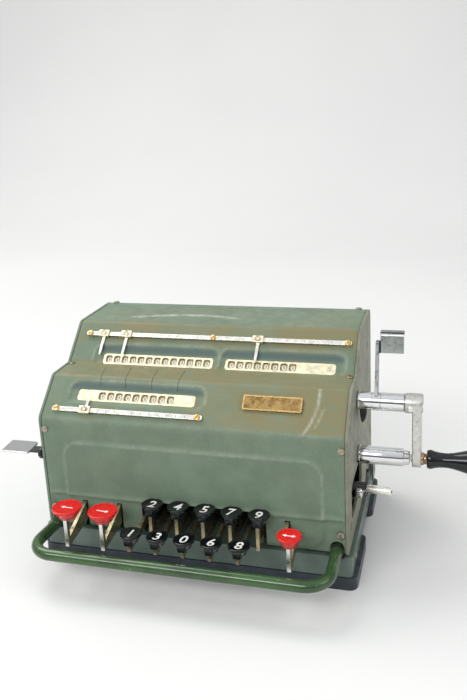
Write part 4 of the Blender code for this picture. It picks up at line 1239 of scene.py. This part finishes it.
def stage():
    """A pale sweep: a floor that curves up into a wall."""
    width, near, far, bend, tall = 4.0, -2.4, 1.1, 0.7, 2.6
    line = [(near, 0.0)] + [(far + bend * math.sin(t), bend - bend * math.cos(t))
                            for t in (math.radians(5 * i) for i in range(19))]
    line.append((far + bend, tall))
    shape = bmesh.new()
    rows = [[shape.verts.new((x, y, z)) for x in (-width, width)] for y, z in line]
    for first, second in zip(rows, rows[1:]):
        shape.faces.new((first[0], first[1], second[1], second[0]))
    bmesh.ops.recalc_face_normals(shape, faces=shape.faces)
    floor = as_object("floor", shape)
    floor.data.shade_smooth()
    n = Nodes("pale_floor", roughness=0.85)
    n.finish(n.mix(n.ramp(n.noise(2.2, 3), 0.3, 0.7), (0.735, 0.735, 0.725), (0.765, 0.762, 0.750)))
    floor.data.materials.append(n.material)


def area_light(name, place, target, size, watts, colour=(1.0, 1.0, 1.0)):
    lamp = bpy.data.lights.new(name, "AREA")
    lamp.shape = "RECTANGLE"
    lamp.size, lamp.size_y = size
    lamp.energy = watts
    lamp.color = colour
    holder = linked(name, lamp)
    holder.location = place
    holder.rotation_mode = "QUATERNION"
    holder.rotation_quaternion = (Vector(target) - Vector(place)).to_track_quat("-Z", "Y")


def light():
    """Soft studio light: a bright window behind on the left and a pale sky all round."""
    bpy.context.scene.view_settings.view_transform = "Standard"
    world = bpy.data.worlds.new("studio")
    bpy.context.scene.world = world
    world.use_nodes = True
    nodes, links = world.node_tree.nodes, world.node_tree.links
    background = nodes["Background"]
    background.inputs["Color"].default_value = (0.94, 0.97, 1.0, 1.0)
    coordinates, parts = nodes.new("ShaderNodeTexCoord"), nodes.new("ShaderNodeSeparateXYZ")
    height, sky = nodes.new("ShaderNodeMapRange"), nodes.new("ShaderNodeValToRGB")
    height.inputs["From Min"].default_value = -1.0
    ramp = sky.color_ramp.elements
    for place, grey in ((0.50, 0.34), (0.52, 0.07), (0.58, 0.07), (0.63, 0.52)):
        ramp.new(place).color = (grey, grey, grey, 1.0)
    ramp[0].color = (0.34, 0.34, 0.34, 1.0)
    ramp[-1].color = (0.88, 0.88, 0.88, 1.0)
    links.new(coordinates.outputs["Generated"], parts.inputs["Vector"])
    links.new(parts.outputs["Z"], height.inputs["Value"])
    links.new(height.outputs["Result"], sky.inputs["Fac"])
    links.new(sky.outputs["Color"], background.inputs["Strength"])
    area_light("window", (-1.1, 0.5, 1.7), (0.0, 0.0, 0.05), (1.2, 1.2), 20.0, (1.0, 0.99, 0.96))
    area_light("front_fill", (-0.5, -1.5, 1.25), (0.0, 0.0, 0.08), (1.6, 0.5), 19.0)
    area_light("right_fill", (1.5, -0.2, 1.0), (0.0, 0.0, 0.08), (1.0, 1.0), 4.5, (1.0, 0.98, 0.94))


def camera():
    """The viewing angle: turned left of straight on, tipped down and a little rolled."""
    heading, pitch, roll = [math.radians(angle) for angle in (16.716, -14.807, -3.094)]
    data = bpy.data.cameras.new("camera")
    data.sensor_width, data.lens = 36.0, 40.993
    data.shift_x, data.shift_y = 0.0088, -0.0819
    data.clip_start, data.clip_end = 0.01, 50.0
    eye = linked("camera", data)
    turn = (Matrix.Rotation(heading, 4, "Z") @ Matrix.Rotation(math.pi / 2 + pitch, 4, "X")
            @ Matrix.Rotation(roll, 4, "Z"))
    eye.matrix_world = Matrix.Translation(TO_ROW @ Vector((179.45, -476.14, 342.01))) @ turn
    bpy.context.scene.camera = eye


front_cover()
side_plates()
case_fittings()
windows()
wheels()
rails()
markers()
name_plate()
guard_bar()
base()
keys()
crank()
stop_post()
levers()
hidden_parts()
stage()
light()
camera()
